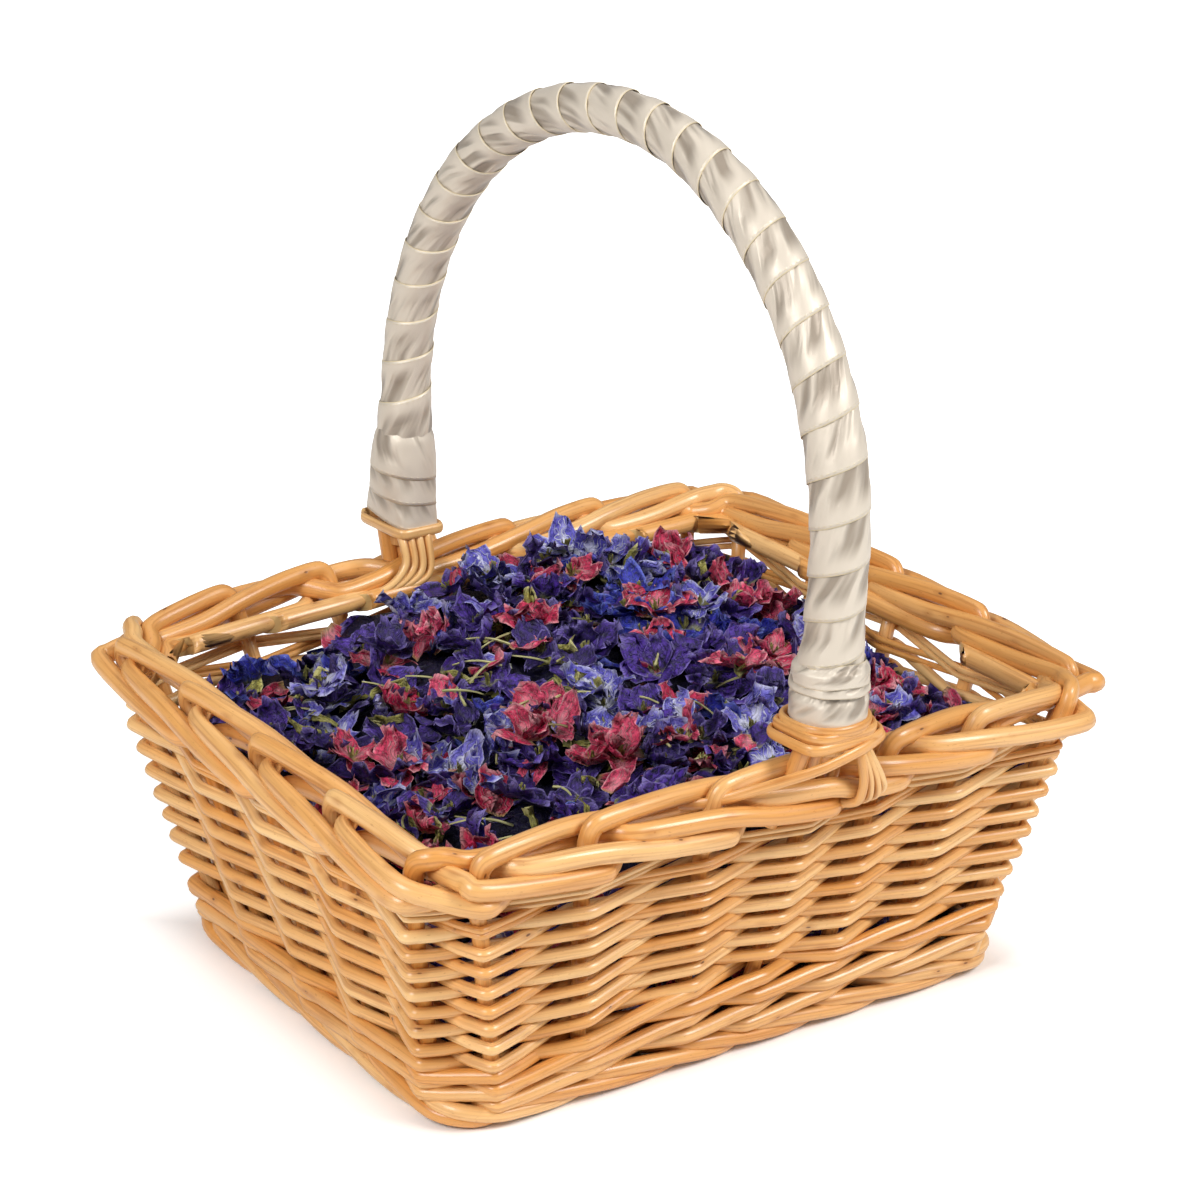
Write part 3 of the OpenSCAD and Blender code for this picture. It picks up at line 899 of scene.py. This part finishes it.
class BASKET_OT_weave(bpy.types.Operator):
    """Makes the weaving rods, outside one stake and inside the next"""

    bl_idname = "basket.weave"
    bl_label = "Weave"

    def execute(self, context):
        s = chosen("wall")
        wall = WallLine()
        count = s.weave_count
        for k in range(COURSE_COUNT):
            rods = RodMesh(SEEDS["weave"] + k)
            for row in range(count * k // COURSE_COUNT, count * (k + 1) // COURSE_COUNT):
                split = row > count - 3
                for part in ((0.25, 0.75) if split else (0.5,)):
                    d = s.split_d if split else s.weaver_d * rods.rng.uniform(0.92, 1.06)

                    def level(u):
                        low = wall.wale_top(u)
                        return low + (row + part) / count * (wall.weave_top(u) - low)

                    def side(j):
                        return 1 if (j + row) % 2 == 0 else -1

                    first = (5 * row + 1) % wall.count
                    swing = (s.stake_d + d) / 2 + s.slack
                    path = woven_path(wall, level, side, first, swing, SEEDS["weave"] + row + part)
                    rods.tapered(path, d / 2 * 1.06, d / 2 * 0.92)
            rods.stand_for(f"weave_course_{k + 1:02d}", "pale_willow")
        return {"FINISHED"}


# Points of a border rod: gaps passed, place in the gap as a share or in millimetres from 1 up,
# distance out and height in millimetres, and how flat the rod is there
BORDER_ROUTE = (
    (0, 0, 0.4, -3.4, 1), (0, 1, 0.8, 6, 1), (0, 1.6, 0.8, 12, 1.1), (0, 3.6, 0.6, 15.8, 1.35),
    (0, 8, 0, 17.2, 1.25), (0, 0.55, -2.6, 17.2, 1), (1, 0, -6.2, 15.2, 1), (1, 0.5, -8, 11.8, 1),
    (2, 0, -8.2, 10, 1), (2, 5, -6, 10.6, 1), (2, 12, 0.4, 11.8, 1.25), (2, 19, 6, 11.8, 1.2),
    (3, 0, 9.2, 10.6, 1), (3, 0.5, 10.4, 6.6, 1), (4, 0, 10, 3.6, 1), (4, 6, 7.6, 3.2, 1.2),
    (4, 13, 1, 4.2, 1.2), (4, 20, -6.4, 5.6, 1), (5, 0, -11.6, 6.8, 1), (5, 0.5, -12.8, 6.8, 1),
    (5, 0.86, -13.4, 6.4, 1),
)


class BASKET_OT_border(bpy.types.Operator):
    """Makes the border rods: each bends over behind two stakes, out in front of two more and in again"""

    bl_idname = "basket.border"
    bl_label = "Border"

    def execute(self, context):
        s = chosen("wall")
        wall = WallLine()
        for side, name in enumerate(SIDES):
            rods = RodMesh(SEEDS["border"] + side)
            for j in wall.on_side(side):
                if j in FEET:
                    continue
                points, ways, flats = [], [], []
                for gap, place, n, h, flat in BORDER_ROUTE:
                    u = j + gap + (place if place < 1 else place * MM / wall.space(j + gap))
                    points.append(wall.point(u, n * MM, wall.border_z(u, h * MM)))
                    ways.append(wall.way(u))
                    flats.append((PER_SPAN * len(flats), flat))
                path = smooth_path(points)
                flats = [along_list(flats, k) for k in range(len(path))]
                thick = taper(len(path), s.border_d / 2.05, s.border_d / 1.85, rods.rng)
                radii = [r / flat ** 0.6 for r, flat in zip(thick, flats)]
                inward = -wall.out(j + 6) * 1.8
                rods.rod(path, radii, 14, smooth_path(ways), flats, (None, inward))
            rods.stand_for(f"border_{name}")
        return {"FINISHED"}


class BASKET_OT_bow(bpy.types.Operator):
    """Makes the handle's bow and the rods that carry it down into the wall"""

    bl_idname = "basket.bow"
    bl_label = "Handle bow"

    def execute(self, context):
        s = chosen("wall")
        h = chosen("handle")
        wall = WallLine()
        line = HandleLine()
        rods = RodMesh(SEEDS["bow"])
        count = 60
        path = [line.at(line.length * k / count) for k in range(count + 1)]
        rods.rod(path, [h.bow_d / 2] * (count + 1), 16)
        top = s.wall_height
        end = line.foot_z + 8 * MM
        thinned = ((top, 2.8 * MM), (line.foot_z, 4.2 * MM))
        for foot in FEET:
            heights = (s.weave_z, 50 * MM, top, top + 12 * MM, line.foot_z, end)
            path = smooth_path([wall.point(foot, 0, z) for z in heights], 3)
            rods.rod(path, [along_list(thinned, p.z) for p in path], 12)
            for low, high in ((-0.34, -0.2), (-0.17, -0.07), (0.2, 0.16)):
                points = [
                    wall.point(foot + low, -1 * MM, top + 2 * MM),
                    wall.point(foot + low * 0.6 + high * 0.4, 1 * MM, top + 15 * MM),
                    wall.point(foot + high, 0, end),
                ]
                rods.tapered(smooth_path(points), 3.7 * MM, 3.4 * MM, 12)
        rods.stand_for("handle_bow")
        return {"FINISHED"}


RIBBON_THICKNESS = 0.18 * MM


def wrap_radius(line, s):
    """Radius of the ribbon wrap along the handle."""
    end = line.length / MM
    stops = [
        (13, 13), (24, 13.2), (30, 12.4), (46, 11.1), (60, 10.8), (110, 11.2), (170, 10.5), (end / 2, 9.3),
        (end - 110, 9.7), (end - 66, 10.1), (end - 48, 11.4), (end - 32, 12.6), (end - 4, 13.4),
    ]
    return along_list(stops, s / MM) * MM


def round_noise(angle, scale, place):
    """Smooth noise round the handle, without a seam."""
    return noise.noise(Vector((math.cos(angle) * scale, math.sin(angle) * scale, place)))


def satin_strip(node, along, place, flat):
    """Makes one strip of ribbon from a flat grid. place gives the point for shares across and along."""
    across = 16
    bm = bmesh.new()
    threads = bm.loops.layers.uv.new("ribbon")
    grid = bmesh.ops.create_grid(bm, x_segments=across, y_segments=along, size=0.5, calc_uvs=True)
    for loop in (loop for face in bm.faces for loop in face.loops):
        loop[threads].uv.y *= flat[1]
    for v in grid["verts"]:
        v.co = place(v.co.x + 0.5, v.co.y + 0.5)
    bmesh.ops.recalc_face_normals(bm, faces=bm.faces)
    piece = make_piece(bm, f"{node}_satin", [node], "ivory satin", BASKET)
    thickness = piece.modifiers.new("Ribbon thickness", "SOLIDIFY")
    thickness.thickness = RIBBON_THICKNESS
    thickness.offset = 0


class BASKET_OT_ribbon(bpy.types.Operator):
    """Winds the satin ribbon round the bow and bunches it at the two feet"""

    bl_idname = "basket.ribbon"
    bl_label = "Ribbon"

    def execute(self, context):
        h = chosen("handle")
        line = HandleLine()
        start, stop = 18 * MM, line.length - 30 * MM
        width = h.ribbon_width * 1.04
        turns = (stop - start - width) / h.ribbon_pitch

        def wound(across, along):
            turn = along * turns
            s = start + turn * h.ribbon_pitch + across * width
            angle = (turn - turns) * math.tau + 1.5 * math.pi
            slant = angle - 1.1 * across
            over = 1 - along_list([(0.27, 0), (0.36, 1)], across)
            open_part = along_list([(0.1, 0), (0.5, 1)], across)
            broad = round_noise(slant, 1.5, turn * 0.45)
            fine = round_noise(slant, 3.6, turn * 1.3)
            edge = noise.noise(Vector((turn * 6.0, across * 2, 3)))
            radius = wrap_radius(line, s) + h.lap * (over - 1) + RIBBON_THICKNESS * edge * over
            radius -= h.pucker * open_part * max(0, 0.4 + 0.7 * broad + fine)
            radius -= 0.5 * MM * along_list([(0.68, 0), (0.76, 1)], across)
            radius -= 1.8 * MM * along_list([(27, 1), (33, 0)], s / MM)
            s += 0.5 * MM * noise.noise(Vector((turn * 4.4, 7, 1))) * (1 - across)
            return line.around(s, angle, radius)

        length = turns * math.hypot(math.tau * 10 * MM, h.ribbon_pitch)
        satin_strip("ribbon_wrap", round(turns * 64), wound, (h.ribbon_width, length))

        def front_cuff(across, along):
            turn = along * 2.9
            angle = turn * math.tau + 1.0
            low = along_list([(0.85, 13.5), (1.15, 24.5), (1.85, 25), (2.15, 28), (2.9, 28.5)], turn)
            s = (low + along_list([(1, 14), (1.4, 8)], turn) * across) * MM
            tuck = along_list([(0.55, 0), (0.8, 1)], across)
            fold = round_noise(angle, 2.2, turn * 0.9 + across)
            radius = wrap_radius(line, s) + (1 + 0.3 * turn - 1.6 * tuck + 0.5 * fold) * MM
            s += 0.8 * MM * round_noise(angle, 1, 4 + turn)
            return line.around(s, angle, radius)

        satin_strip("ribbon_cuff_front", 200, front_cuff, (h.ribbon_width * 0.42, 0.235))

        def back_cuff(across, along):
            turn = along * 3.0
            rise = (2.5 + turn * 10.5 + across * 25) * MM
            angle = turn * math.tau + 1.4 * math.pi
            square = (abs(math.cos(angle) / 9) ** 7 + abs(math.sin(angle) / 13.4) ** 7) ** (-1 / 7) * MM
            fold = round_noise(angle, 2, turn * 0.6 + across)
            tuck = along_list([(44, 0), (52, 1)], rise / MM)
            radius = wrap_radius(line, line.length - rise)
            radius += (square - radius) * along_list([(7, 1), (30, 0)], rise / MM)
            radius += (0.8 - 0.5 * across - 2.2 * tuck) * MM
            radius += 0.4 * MM * fold * along_list([(0.1, 0), (0.25, 1), (0.4, 0)], across)
            return line.around(line.length - rise, angle, radius)

        satin_strip("ribbon_cuff_back", 190, back_cuff, (h.ribbon_width, 0.22))
        return {"FINISHED"}


FRONT_TAIL = (
    (22, -143.6, 135.2), (5, -143.9, 132), (-8.5, -141.6, 130), (-20, -136, 126.5), (-32, -127.5, 121.5),
    (-42, -118.5, 119),
)


class BASKET_OT_bindings(bpy.types.Operator):
    """Winds split willow round the feet of the handle"""

    bl_idname = "basket.bindings"
    bl_label = "Bindings"

    def execute(self, context):
        line = HandleLine()
        steps = 40
        coil = []
        for i in range(round(3.125 * steps) + 1):
            q = i / steps
            power = along_list([(0, 1), (0.9, 0.7), (1.4, 0.45), (2.4, 0.36)], q)
            half = (
                along_list([(0.5, 15.2), (1.4, 15.6), (2.4, 18)], q),
                along_list([(0.5, 14.6), (1.4, 13.8)], q),
            )
            height = along_list([(0, 13.4), (0.4, 12.4), (1.4, 10.2), (2.4, 7), (3.2, 6)], q)
            coil.append(self.corner(line, -1, -math.tau * q, half, power, height))
        coil += [Vector(p) * MM for p in FRONT_TAIL]
        self.strip("binding_front", smooth_path(coil, 2))
        coil = []
        for i in range(round(1.15 * steps) + 1):
            q = i / steps
            half = (10 + 0.5 * q, 14.4 + 0.5 * q)
            coil.append(self.corner(line, 1, math.tau * q + 1.05, half, 0.24, 7.4 + q))
        self.strip("binding_back", smooth_path(coil, 2))
        return {"FINISHED"}

    def corner(self, line, way, angle, half, power, height):
        """Point of a turn that is squarer the smaller its power."""
        x, y = (math.copysign(abs(c) ** power, c) for c in (math.cos(angle), math.sin(angle)))
        return line.place @ Vector((half[0] * x * MM, way * line.span + half[1] * y * MM, height * MM))

    def strip(self, node, path):
        """Adds a split rod with its flat side to the handle."""
        rods = RodMesh(SEEDS[node])
        count = len(path)
        thick = chosen("handle").binding_d / 2
        radii = taper(count, thick, thick, rods.rng)
        rods.rod(path, radii, 12, [Vector((0, 0, 1))] * count, [0.55] * count)
        rods.stand_for(node, "pale_willow")


class BASKET_OT_lashings(bpy.types.Operator):
    """Makes the thin strands that tie the handle to the border"""

    bl_idname = "basket.lashings"
    bl_label = "Lashings"

    def execute(self, context):
        d = chosen("handle").strand_d
        rods = RodMesh(SEEDS["lashing_front"])
        for k, (foot, low) in enumerate(((23.5, 112.3), (27.7, 112.1), (31.3, 112.4), (34, 114))):
            top = 22.4 + 1.5 * k
            route = (
                (top, -136.5, 135), (top, -140.8, 131.5), ((top + foot) / 2 + 1, -141.6, 122),
                (foot, -140.4, low + 2), (foot - 0.6, -137.5, low - 1), (foot - 3, -133, low - 2.5),
            )
            self.strand(rods, route, d * (1.4 if k == 0 else 1))
        rods.stand_for("lashing_front", "pale_willow")
        rods = RodMesh(SEEDS["lashing_back"])
        for k in range(4):
            x = -17 + 3.8 * k
            route = (
                (x, 116, 138), (x, 113.6, 134), (x - 0.4, 111.6, 127 - 1.5 * k),
                (x - 6, 110.8, 121 - 0.8 * k), (x - 14, 111.4, 117.5), (x - 20, 115, 115.5),
            )
            self.strand(rods, route, d * 1.3)
        rods.stand_for("lashing_back", "pale_willow")
        return {"FINISHED"}

    def strand(self, rods, route, thick):
        """Adds one strand along a route in millimetres."""
        rods.tapered(smooth_path([Vector(p) * MM for p in route], 5), thick / 2, thick / 2.2)


class Heap:
    """Surface of the heap of petals."""

    def __init__(self):
        self.sizes = chosen("petals")
        self.wall = WallLine()
        self.half = self.inside(self.sizes.edge_z)

    def inside(self, z, more=0):
        """Half length and half width of the heap at a height."""
        return [side - self.sizes.inset + more for side in self.wall.half(z)]

    def share(self, x, y):
        """0 in the middle of the heap and 1 at its sides."""
        return max(abs(x) / self.half[0], abs(y) / self.half[1])

    def height(self, x, y):
        """Height of the heap, in lumps that fall towards the walls."""
        p = self.sizes
        a, b = math.radians(x / MM), math.radians(y / MM)
        waves = math.sin(7.2 * a + 0.7) * math.sin(7.6 * b - 0.35) + 0.5 * math.sin(4.1 * a + 5.3 * b)
        left = along_list([(20, 0), (115, 1)], -x / MM)
        right = along_list([(45, 0), (120, 0.8)], x / MM)
        slope = p.slope * left + p.slope * right
        rise = 0.02 * x + 0.06 * y + p.lump * waves - slope
        return min(p.top_z - p.fall * self.share(x, y) ** 2 + rise, p.limit_z)

    def crown(self, x, y):
        """Height that the loose florets add at the back."""
        far = ((x / MM - 35) / 45) ** 2 + ((y / MM - 100) / 35) ** 2
        return self.sizes.crown * math.exp(-far)


class PetalMesh(JoinedMesh):
    """A mesh of dried petals, each one a crumpled grid."""

    def add_layers(self, bm):
        bm.loops.layers.uv.new("petal")
        self.tone = bm.verts.layers.float.new("tone")

    def petal(self, place, length, width, rng, curl, crumple, tone=None, cells=7):
        """Adds a petal that grows along +Y of its place."""
        bm = bmesh.new()
        self.add_layers(bm)
        made = bmesh.ops.create_grid(bm, x_segments=cells, y_segments=cells, size=1, calc_uvs=True)
        seed = Vector((rng.uniform(-50, 50), rng.uniform(-50, 50), rng.uniform(-50, 50)))
        shade = rng.random() if tone is None else min(1, max(0, tone + rng.uniform(-0.15, 0.15)))
        cup = rng.uniform(-0.2, 0.45)
        ruffle, phase = rng.uniform(0.06, 0.16), rng.uniform(0, math.tau)
        for v in made["verts"]:
            side, along = v.co.x, (v.co.y + 1) / 2
            half = width / 2 * (0.16 + 0.84 * math.sin(math.pi * (0.06 + 0.86 * along) ** 0.85) ** 0.8)
            rise = curl * along * along + cup * side * side * 0.4
            rise += ruffle * along * math.sin(5 * side + 6 * along * abs(side) + phase)
            p = Vector((side * half, along * length, length * rise))
            rough = noise.noise_vector(p * (0.19 / MM) + seed) * 0.15 * length
            fine = noise.noise_vector(p * (0.45 / MM) + seed) * 0.075 * length
            v.co = place @ (p + (rough + fine) * crumple * (0.35 + along))
            v[self.tone] = shade
        self.join(bm)


# Florets that the eye is drawn to: kind and place in millimetres
KEY_FLORETS = (
    ("lavender", -3, -10), ("pink", 52, 34), ("pink", 39, 12), ("pink", 37, 73), ("violet", -14, 64),
    ("pink", 3, 50), ("pink", -87, -2), ("pink", -48, -32), ("pink", -34, -53), ("pink", 2, -58),
    ("pink", 48, -29), ("lavender", 11, 94), ("lavender", 46, 96), ("lavender", 61, 82), ("pink", 98, 38),
    ("lavender", -74, -39), ("lavender", -85, 62), ("lavender", 71, 32), ("pink", -100, 12),
    ("pink", 110, -48), ("lavender", 88, -70), ("violet", 48, -50), ("violet", -54, 62), ("pink", 80, -71),
)
KEY_LIFT = 4.5
KIND_SHARES = {"violet": 0.46, "lavender": 0.2, "blue": 0.08, "pink": 0.26}


class BASKET_OT_petals(bpy.types.Operator):
    """Heaps dried florets, loose petals and stems in the basket"""

    bl_idname = "basket.petals"
    bl_label = "Petals"

    def execute(self, context):
        p = chosen("petals")
        self.rng = random.Random(p.seed)
        noise.seed_set(p.seed)
        self.heap = Heap()
        self.meshes = {name: PetalMesh() for name in (*KIND_SHARES, "sepal")}
        self.stems = RodMesh(p.seed + 1)
        self.bed()
        for kind, x, y in KEY_FLORETS:
            self.floret(x * MM, y * MM, KEY_LIFT * MM, kind, 0.3)
        for x, y in self.spread(p.spacing):
            self.floret(x, y, self.rng.uniform(-4, 1) * MM, self.pick(), 0.65)
        for _ in range(p.loose):
            x, y = self.anywhere(0.95)
            self.loose_petal(x, y, self.rng.uniform(-5, 2) * MM)
        for _ in range(p.stems):
            self.stem()
        for name, mesh in self.meshes.items():
            mesh.make(f"petals_{name}", [], "petals", f"{name} petals", PETALS)
        self.stems.make("petal_stems", [], "petals", "dry stems", PETALS)
        return {"FINISHED"}

    def pick(self):
        """A random kind of petal."""
        return self.rng.choices(list(KIND_SHARES), list(KIND_SHARES.values()))[0]

    def anywhere(self, share):
        """A random place over the heap, within a share of its sides."""
        return [self.rng.uniform(-half, half) * share for half in self.heap.half]

    def on_heap(self, x, y, lift):
        return Vector((x, y, self.heap.height(x, y) + self.heap.crown(x, y) + lift))

    def spread(self, spacing):
        """Places over the heap, none closer than the spacing."""
        tries = 9000
        places = []
        for _ in range(tries):
            x, y = self.anywhere(0.97)
            if all((x - a) ** 2 + (y - b) ** 2 > spacing ** 2 for a, b in places):
                places.append((x, y))
        return places

    def turned(self, point, tilt):
        """A place at a point, facing up but for a random tilt and turn."""
        rng = self.rng
        angle = rng.uniform(0, tilt)
        lean = Matrix.Rotation(angle, 4, Vector((rng.uniform(-1, 1), rng.uniform(-1, 1), 0.01)))
        return Matrix.Translation(point) @ lean @ Matrix.Rotation(rng.uniform(0, math.tau), 4, "Z")

    def clear_place(self, place, reach):
        """Moves a place inwards until what it carries is clear of the walls."""
        middle = place.translation
        for axis, half in enumerate(self.heap.half):
            limit = half - reach
            middle[axis] = max(-limit, min(limit, middle[axis]))
        place.translation = middle
        return place

    def floret(self, x, y, lift, kind, tilt):
        """Adds a floret of five petals round its thin sepals."""
        rng = self.rng
        length = chosen("petals").petal_length * rng.uniform(0.8, 1.12)
        place = self.clear_place(self.turned(self.on_heap(x, y, lift), tilt), length * 0.9)
        tone = rng.random()
        mesh = self.meshes[kind]
        cup = rng.uniform(0.05, 0.6)
        for k in range(5):
            turn = Matrix.Rotation(math.tau * (k + rng.uniform(-0.2, 0.2)) / 5, 4, "Z")
            spread = Matrix.Rotation(cup + rng.uniform(-0.3, 0.4), 4, "X")
            size = length * rng.uniform(0.8, 1.1)
            width = size * rng.uniform(0.75, 1)
            mesh.petal(place @ turn @ spread, size, width, rng, rng.uniform(-0.35, 0.4), 1, tone)
        sepals = self.meshes["sepal"]
        for _ in range(6):
            turn = Matrix.Rotation(rng.uniform(0, math.tau), 4, "Z")
            turn = turn @ Matrix.Rotation(rng.uniform(0.6, 1.4), 4, "X")
            sepals.petal(place @ turn, length * 0.34, length * 0.09, rng, 0.4, 1.2, None, 2)

    def loose_petal(self, x, y, lift):
        """Adds a single petal, or now and then a narrow dry leaf."""
        rng = self.rng
        length = chosen("petals").petal_length * rng.uniform(0.7, 1.15)
        place = self.clear_place(self.turned(self.on_heap(x, y, lift), 1.2), length)
        narrow = rng.random() < 0.2
        width = length * (rng.uniform(0.2, 0.35) if narrow else rng.uniform(0.6, 0.95))
        mesh = self.meshes["sepal" if narrow else self.pick()]
        mesh.petal(place, length, width, rng, rng.uniform(-0.5, 0.6), rng.uniform(0.9, 1.6))

    def stem(self):
        """Adds a thin bent stem."""
        rng = self.rng
        length = rng.uniform(9, 24) * MM
        x, y = self.anywhere(0.85)
        place = self.clear_place(self.turned(self.on_heap(x, y, rng.uniform(-3, 4) * MM), 0.5), length / 2)
        bend = rng.uniform(-0.5, 0.5)
        points = []
        for k in range(5):
            t = k / 4
            p = Vector((length * (t - 0.5), bend * length * t ** 2, t * (1 - t) * 0.4 * length))
            points.append(place @ p)
        path = smooth_path(points, 2)
        self.stems.rod(path, taper(len(path), 0.6 * MM, 0.35 * MM, rng, 0.1), 5)

    def bed(self):
        """Pressed petals under the loose ones, as a crumpled mound that fills the basket. Its near-black
        finish is painted shadow for the gaps between the loose petals.
        """
        low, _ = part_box("petal_fill")
        bm = bmesh.new()
        place = bm.loops.layers.uv.new("petal")
        tone = bm.verts.layers.float.new("tone")
        bmesh.ops.create_cube(bm, size=2)
        bmesh.ops.subdivide_edges(bm, edges=bm.edges, cuts=40, use_grid_fill=True)
        drop = 5 * MM
        for v in bm.verts:
            up = (v.co.z + 1) / 2
            flat_x, flat_y = v.co.x, v.co.y
            x, y = flat_x * self.heap.half[0], flat_y * self.heap.half[1]
            top = self.heap.height(x, y) + self.heap.crown(x, y) * 0.6 - drop
            z = low.z + (top - low.z) * up
            half = self.heap.inside(z)
            p = Vector((flat_x * half[0], flat_y * half[1], z))
            rough = noise.noise_vector(p * 130) * 3.2 * MM + noise.noise_vector(p * 300) * 1.6 * MM
            inward = [-math.copysign(abs(rough[axis]), p[axis]) for axis in range(2)]
            v.co = p + Vector((*inward, rough.z * up))
            v[tone] = 0.2 + 0.3 * noise.noise(p * 90)
        for loop in (loop for face in bm.faces for loop in face.loops):
            loop[place].uv = (0.5, 0.6)
        bmesh.ops.recalc_face_normals(bm, faces=bm.faces)
        # The bed's near-black finish is painted shadow for the gaps between the loose petals.
        make_piece(bm, "petal_bed", ["petal_fill"], "pressed petals", PETALS)
        self.pressed(low.z)

    def pressed(self, low):
        """Petals that lie flat against the sides and the bottom of the mound."""
        rng = self.rng
        sizes = chosen("petals")
        proud = 0.2 * MM
        flatness = Matrix.Diagonal((1, 1, 0.3, 1))
        for k in range(sizes.pressed):
            side = k % 5
            x, y = (rng.uniform(-0.96, 0.96) for _ in range(2))
            z = low + 0.5 * MM
            facing = Vector((0, 0, -1))
            if side < 4:
                axis, way = side // 2, 2 * (side % 2) - 1
                x, y = ((way, y), (x, way))[axis]
                facing = Vector((way * (1 - axis), way * axis, -0.3))
                edge = self.heap.height(x * self.heap.half[0], y * self.heap.half[1])
                z = low + (edge - low) * rng.uniform(0.08, 0.96)
            half = self.heap.inside(z, proud)
            turn = facing.to_track_quat("Z", "Y").to_matrix().to_4x4()
            place = Matrix.Translation((x * half[0], y * half[1], z)) @ turn
            length = sizes.petal_length * rng.uniform(0.8, 1.2)
            place = place @ Matrix.Rotation(rng.uniform(0, math.tau), 4, "Z")
            place = place @ Matrix.Translation((0, -length / 2, 0)) @ flatness
            mesh = self.meshes[self.pick()]
            mesh.petal(place, length, length * rng.uniform(0.7, 1), rng, rng.uniform(-0.1, 0.1), 0.4, None, 4)


class BASKET_OT_stage(bpy.types.Operator):
    """Sets the camera, the soft lamps and the pale floor"""

    bl_idname = "basket.stage"
    bl_label = "Stage"

    def execute(self, context):
        scene = context.scene
        st = chosen("stage")
        lens = bpy.data.cameras.new("Camera")
        lens.lens = st.lens
        lens.shift_x = st.shift_x
        lens.shift_y = st.shift_y
        scene.camera = self.aim(scene, "Camera", lens, st.camera, st.target)
        scene.view_settings.view_transform = "Standard"
        lamps = (
            ("Key", (0.9, -1.3, 1.5), 0.8, st.key),
            ("Fill", (-1.5, -0.5, 1.3), 0.9, st.fill),
            ("Top", (0.1, 0.5, 1.9), 1.5, st.top),
        )
        for name, place, size, power in lamps:
            light = bpy.data.lights.new(name, "AREA")
            light.shape = "DISK"
            light.size = size
            light.energy = power
            self.aim(scene, name, light, place, st.lamp_target)
        self.surroundings(scene, st.ambient)
        self.ground(scene)
        return {"FINISHED"}

    def aim(self, scene, name, data, place, target):
        """Adds the camera or a lamp, looking at a point."""
        made = bpy.data.objects.new(name, data)
        made.location = place
        made.rotation_euler = (Vector(target) - Vector(place)).to_track_quat("-Z", "Y").to_euler()
        scene.collection.objects.link(made)
        return made

    def surroundings(self, scene, ambient):
        """White all round to the camera, and a soft light to everything else."""
        world = bpy.data.worlds.new("Studio")
        world.use_nodes = True
        tree = world.node_tree
        background = tree.nodes["Background"]
        seen = tree.nodes.new("ShaderNodeLightPath")
        strength = tree.nodes.new("ShaderNodeMapRange")
        strength.inputs["To Min"].default_value = ambient
        strength.inputs["To Max"].default_value = 1
        background.inputs["Color"].default_value = (1, 1, 1, 1)
        tree.links.new(seen.outputs["Is Camera Ray"], strength.inputs["Value"])
        tree.links.new(strength.outputs[0], background.inputs["Strength"])
        scene.world = world

    def ground(self, scene):
        """A pale floor that glows to the camera where it is clear of the basket."""
        bm = bmesh.new()
        bmesh.ops.create_grid(bm, x_segments=1, y_segments=1, size=6)
        mesh = bpy.data.meshes.new("floor")
        bm.to_mesh(mesh)
        bm.free()
        floor = bpy.data.objects.new("floor", mesh)
        scene.collection.objects.link(floor)
        f = Finish("floor")
        f.set(Base_Color=shade("floor"), Roughness=0.9, Specular_IOR_Level=0.1)
        x, y = (abs(part) for part in f.split(f.node("ShaderNodeTexCoord", output="Object")))
        clear = (x - 0.118).math("MAXIMUM", y - 0.094).between(0, 0.03)
        seen = f.node("ShaderNodeLightPath", output="Is Camera Ray")
        far = x.math("MAXIMUM", y).between(0.2, 0.8)
        plain = Value(f, f.shader.outputs[0])
        glow = f.node("ShaderNodeEmission", inputs={"Color": f.mix(far, (0.45, 0.45, 0.45), (1, 1, 1))})
        lit = f.node("ShaderNodeAddShader", inputs={0: glow, 1: plain})
        shown = f.node("ShaderNodeMixShader", inputs={0: seen * clear, 1: plain, 2: lit})
        f.feed(f.tree.nodes["Material Output"].inputs["Surface"], shown)
        mesh.materials.append(f.material)


class BASKET_PT_panel(bpy.types.Panel):
    """Lists the steps that dress the basket"""

    bl_label = "Basket"
    bl_idname = "BASKET_PT_panel"
    bl_space_type = "VIEW_3D"
    bl_region_type = "UI"
    bl_category = "Basket"

    def draw(self, context):
        for step in STEPS:
            self.layout.operator(step.bl_idname)


STEPS = (
    BASKET_OT_stage,
    BASKET_OT_base,
    BASKET_OT_foot,
    BASKET_OT_wale,
    BASKET_OT_stakes,
    BASKET_OT_weave,
    BASKET_OT_border,
    BASKET_OT_bow,
    BASKET_OT_ribbon,
    BASKET_OT_bindings,
    BASKET_OT_lashings,
    BASKET_OT_petals,
)
GROUPS = {
    "basket_wall": BasketWallSizes,
    "basket_handle": BasketHandleSizes,
    "basket_petals": BasketPetalSizes,
    "basket_colours": BasketColours,
    "basket_stage": BasketStageSettings,
}


def register():
    for name, group in GROUPS.items():
        bpy.utils.register_class(group)
        setattr(bpy.types.Scene, name, bpy.props.PointerProperty(type=group))
    for step in (*STEPS, BASKET_PT_panel):
        bpy.utils.register_class(step)


def unregister():
    for step in reversed((*STEPS, BASKET_PT_panel)):
        bpy.utils.unregister_class(step)
    for name, group in GROUPS.items():
        delattr(bpy.types.Scene, name)
        bpy.utils.unregister_class(group)


def main():
    register()
    for step in STEPS:
        family, name = step.bl_idname.split(".")
        getattr(getattr(bpy.ops, family), name)()


if __name__ == "__main__":
    main()
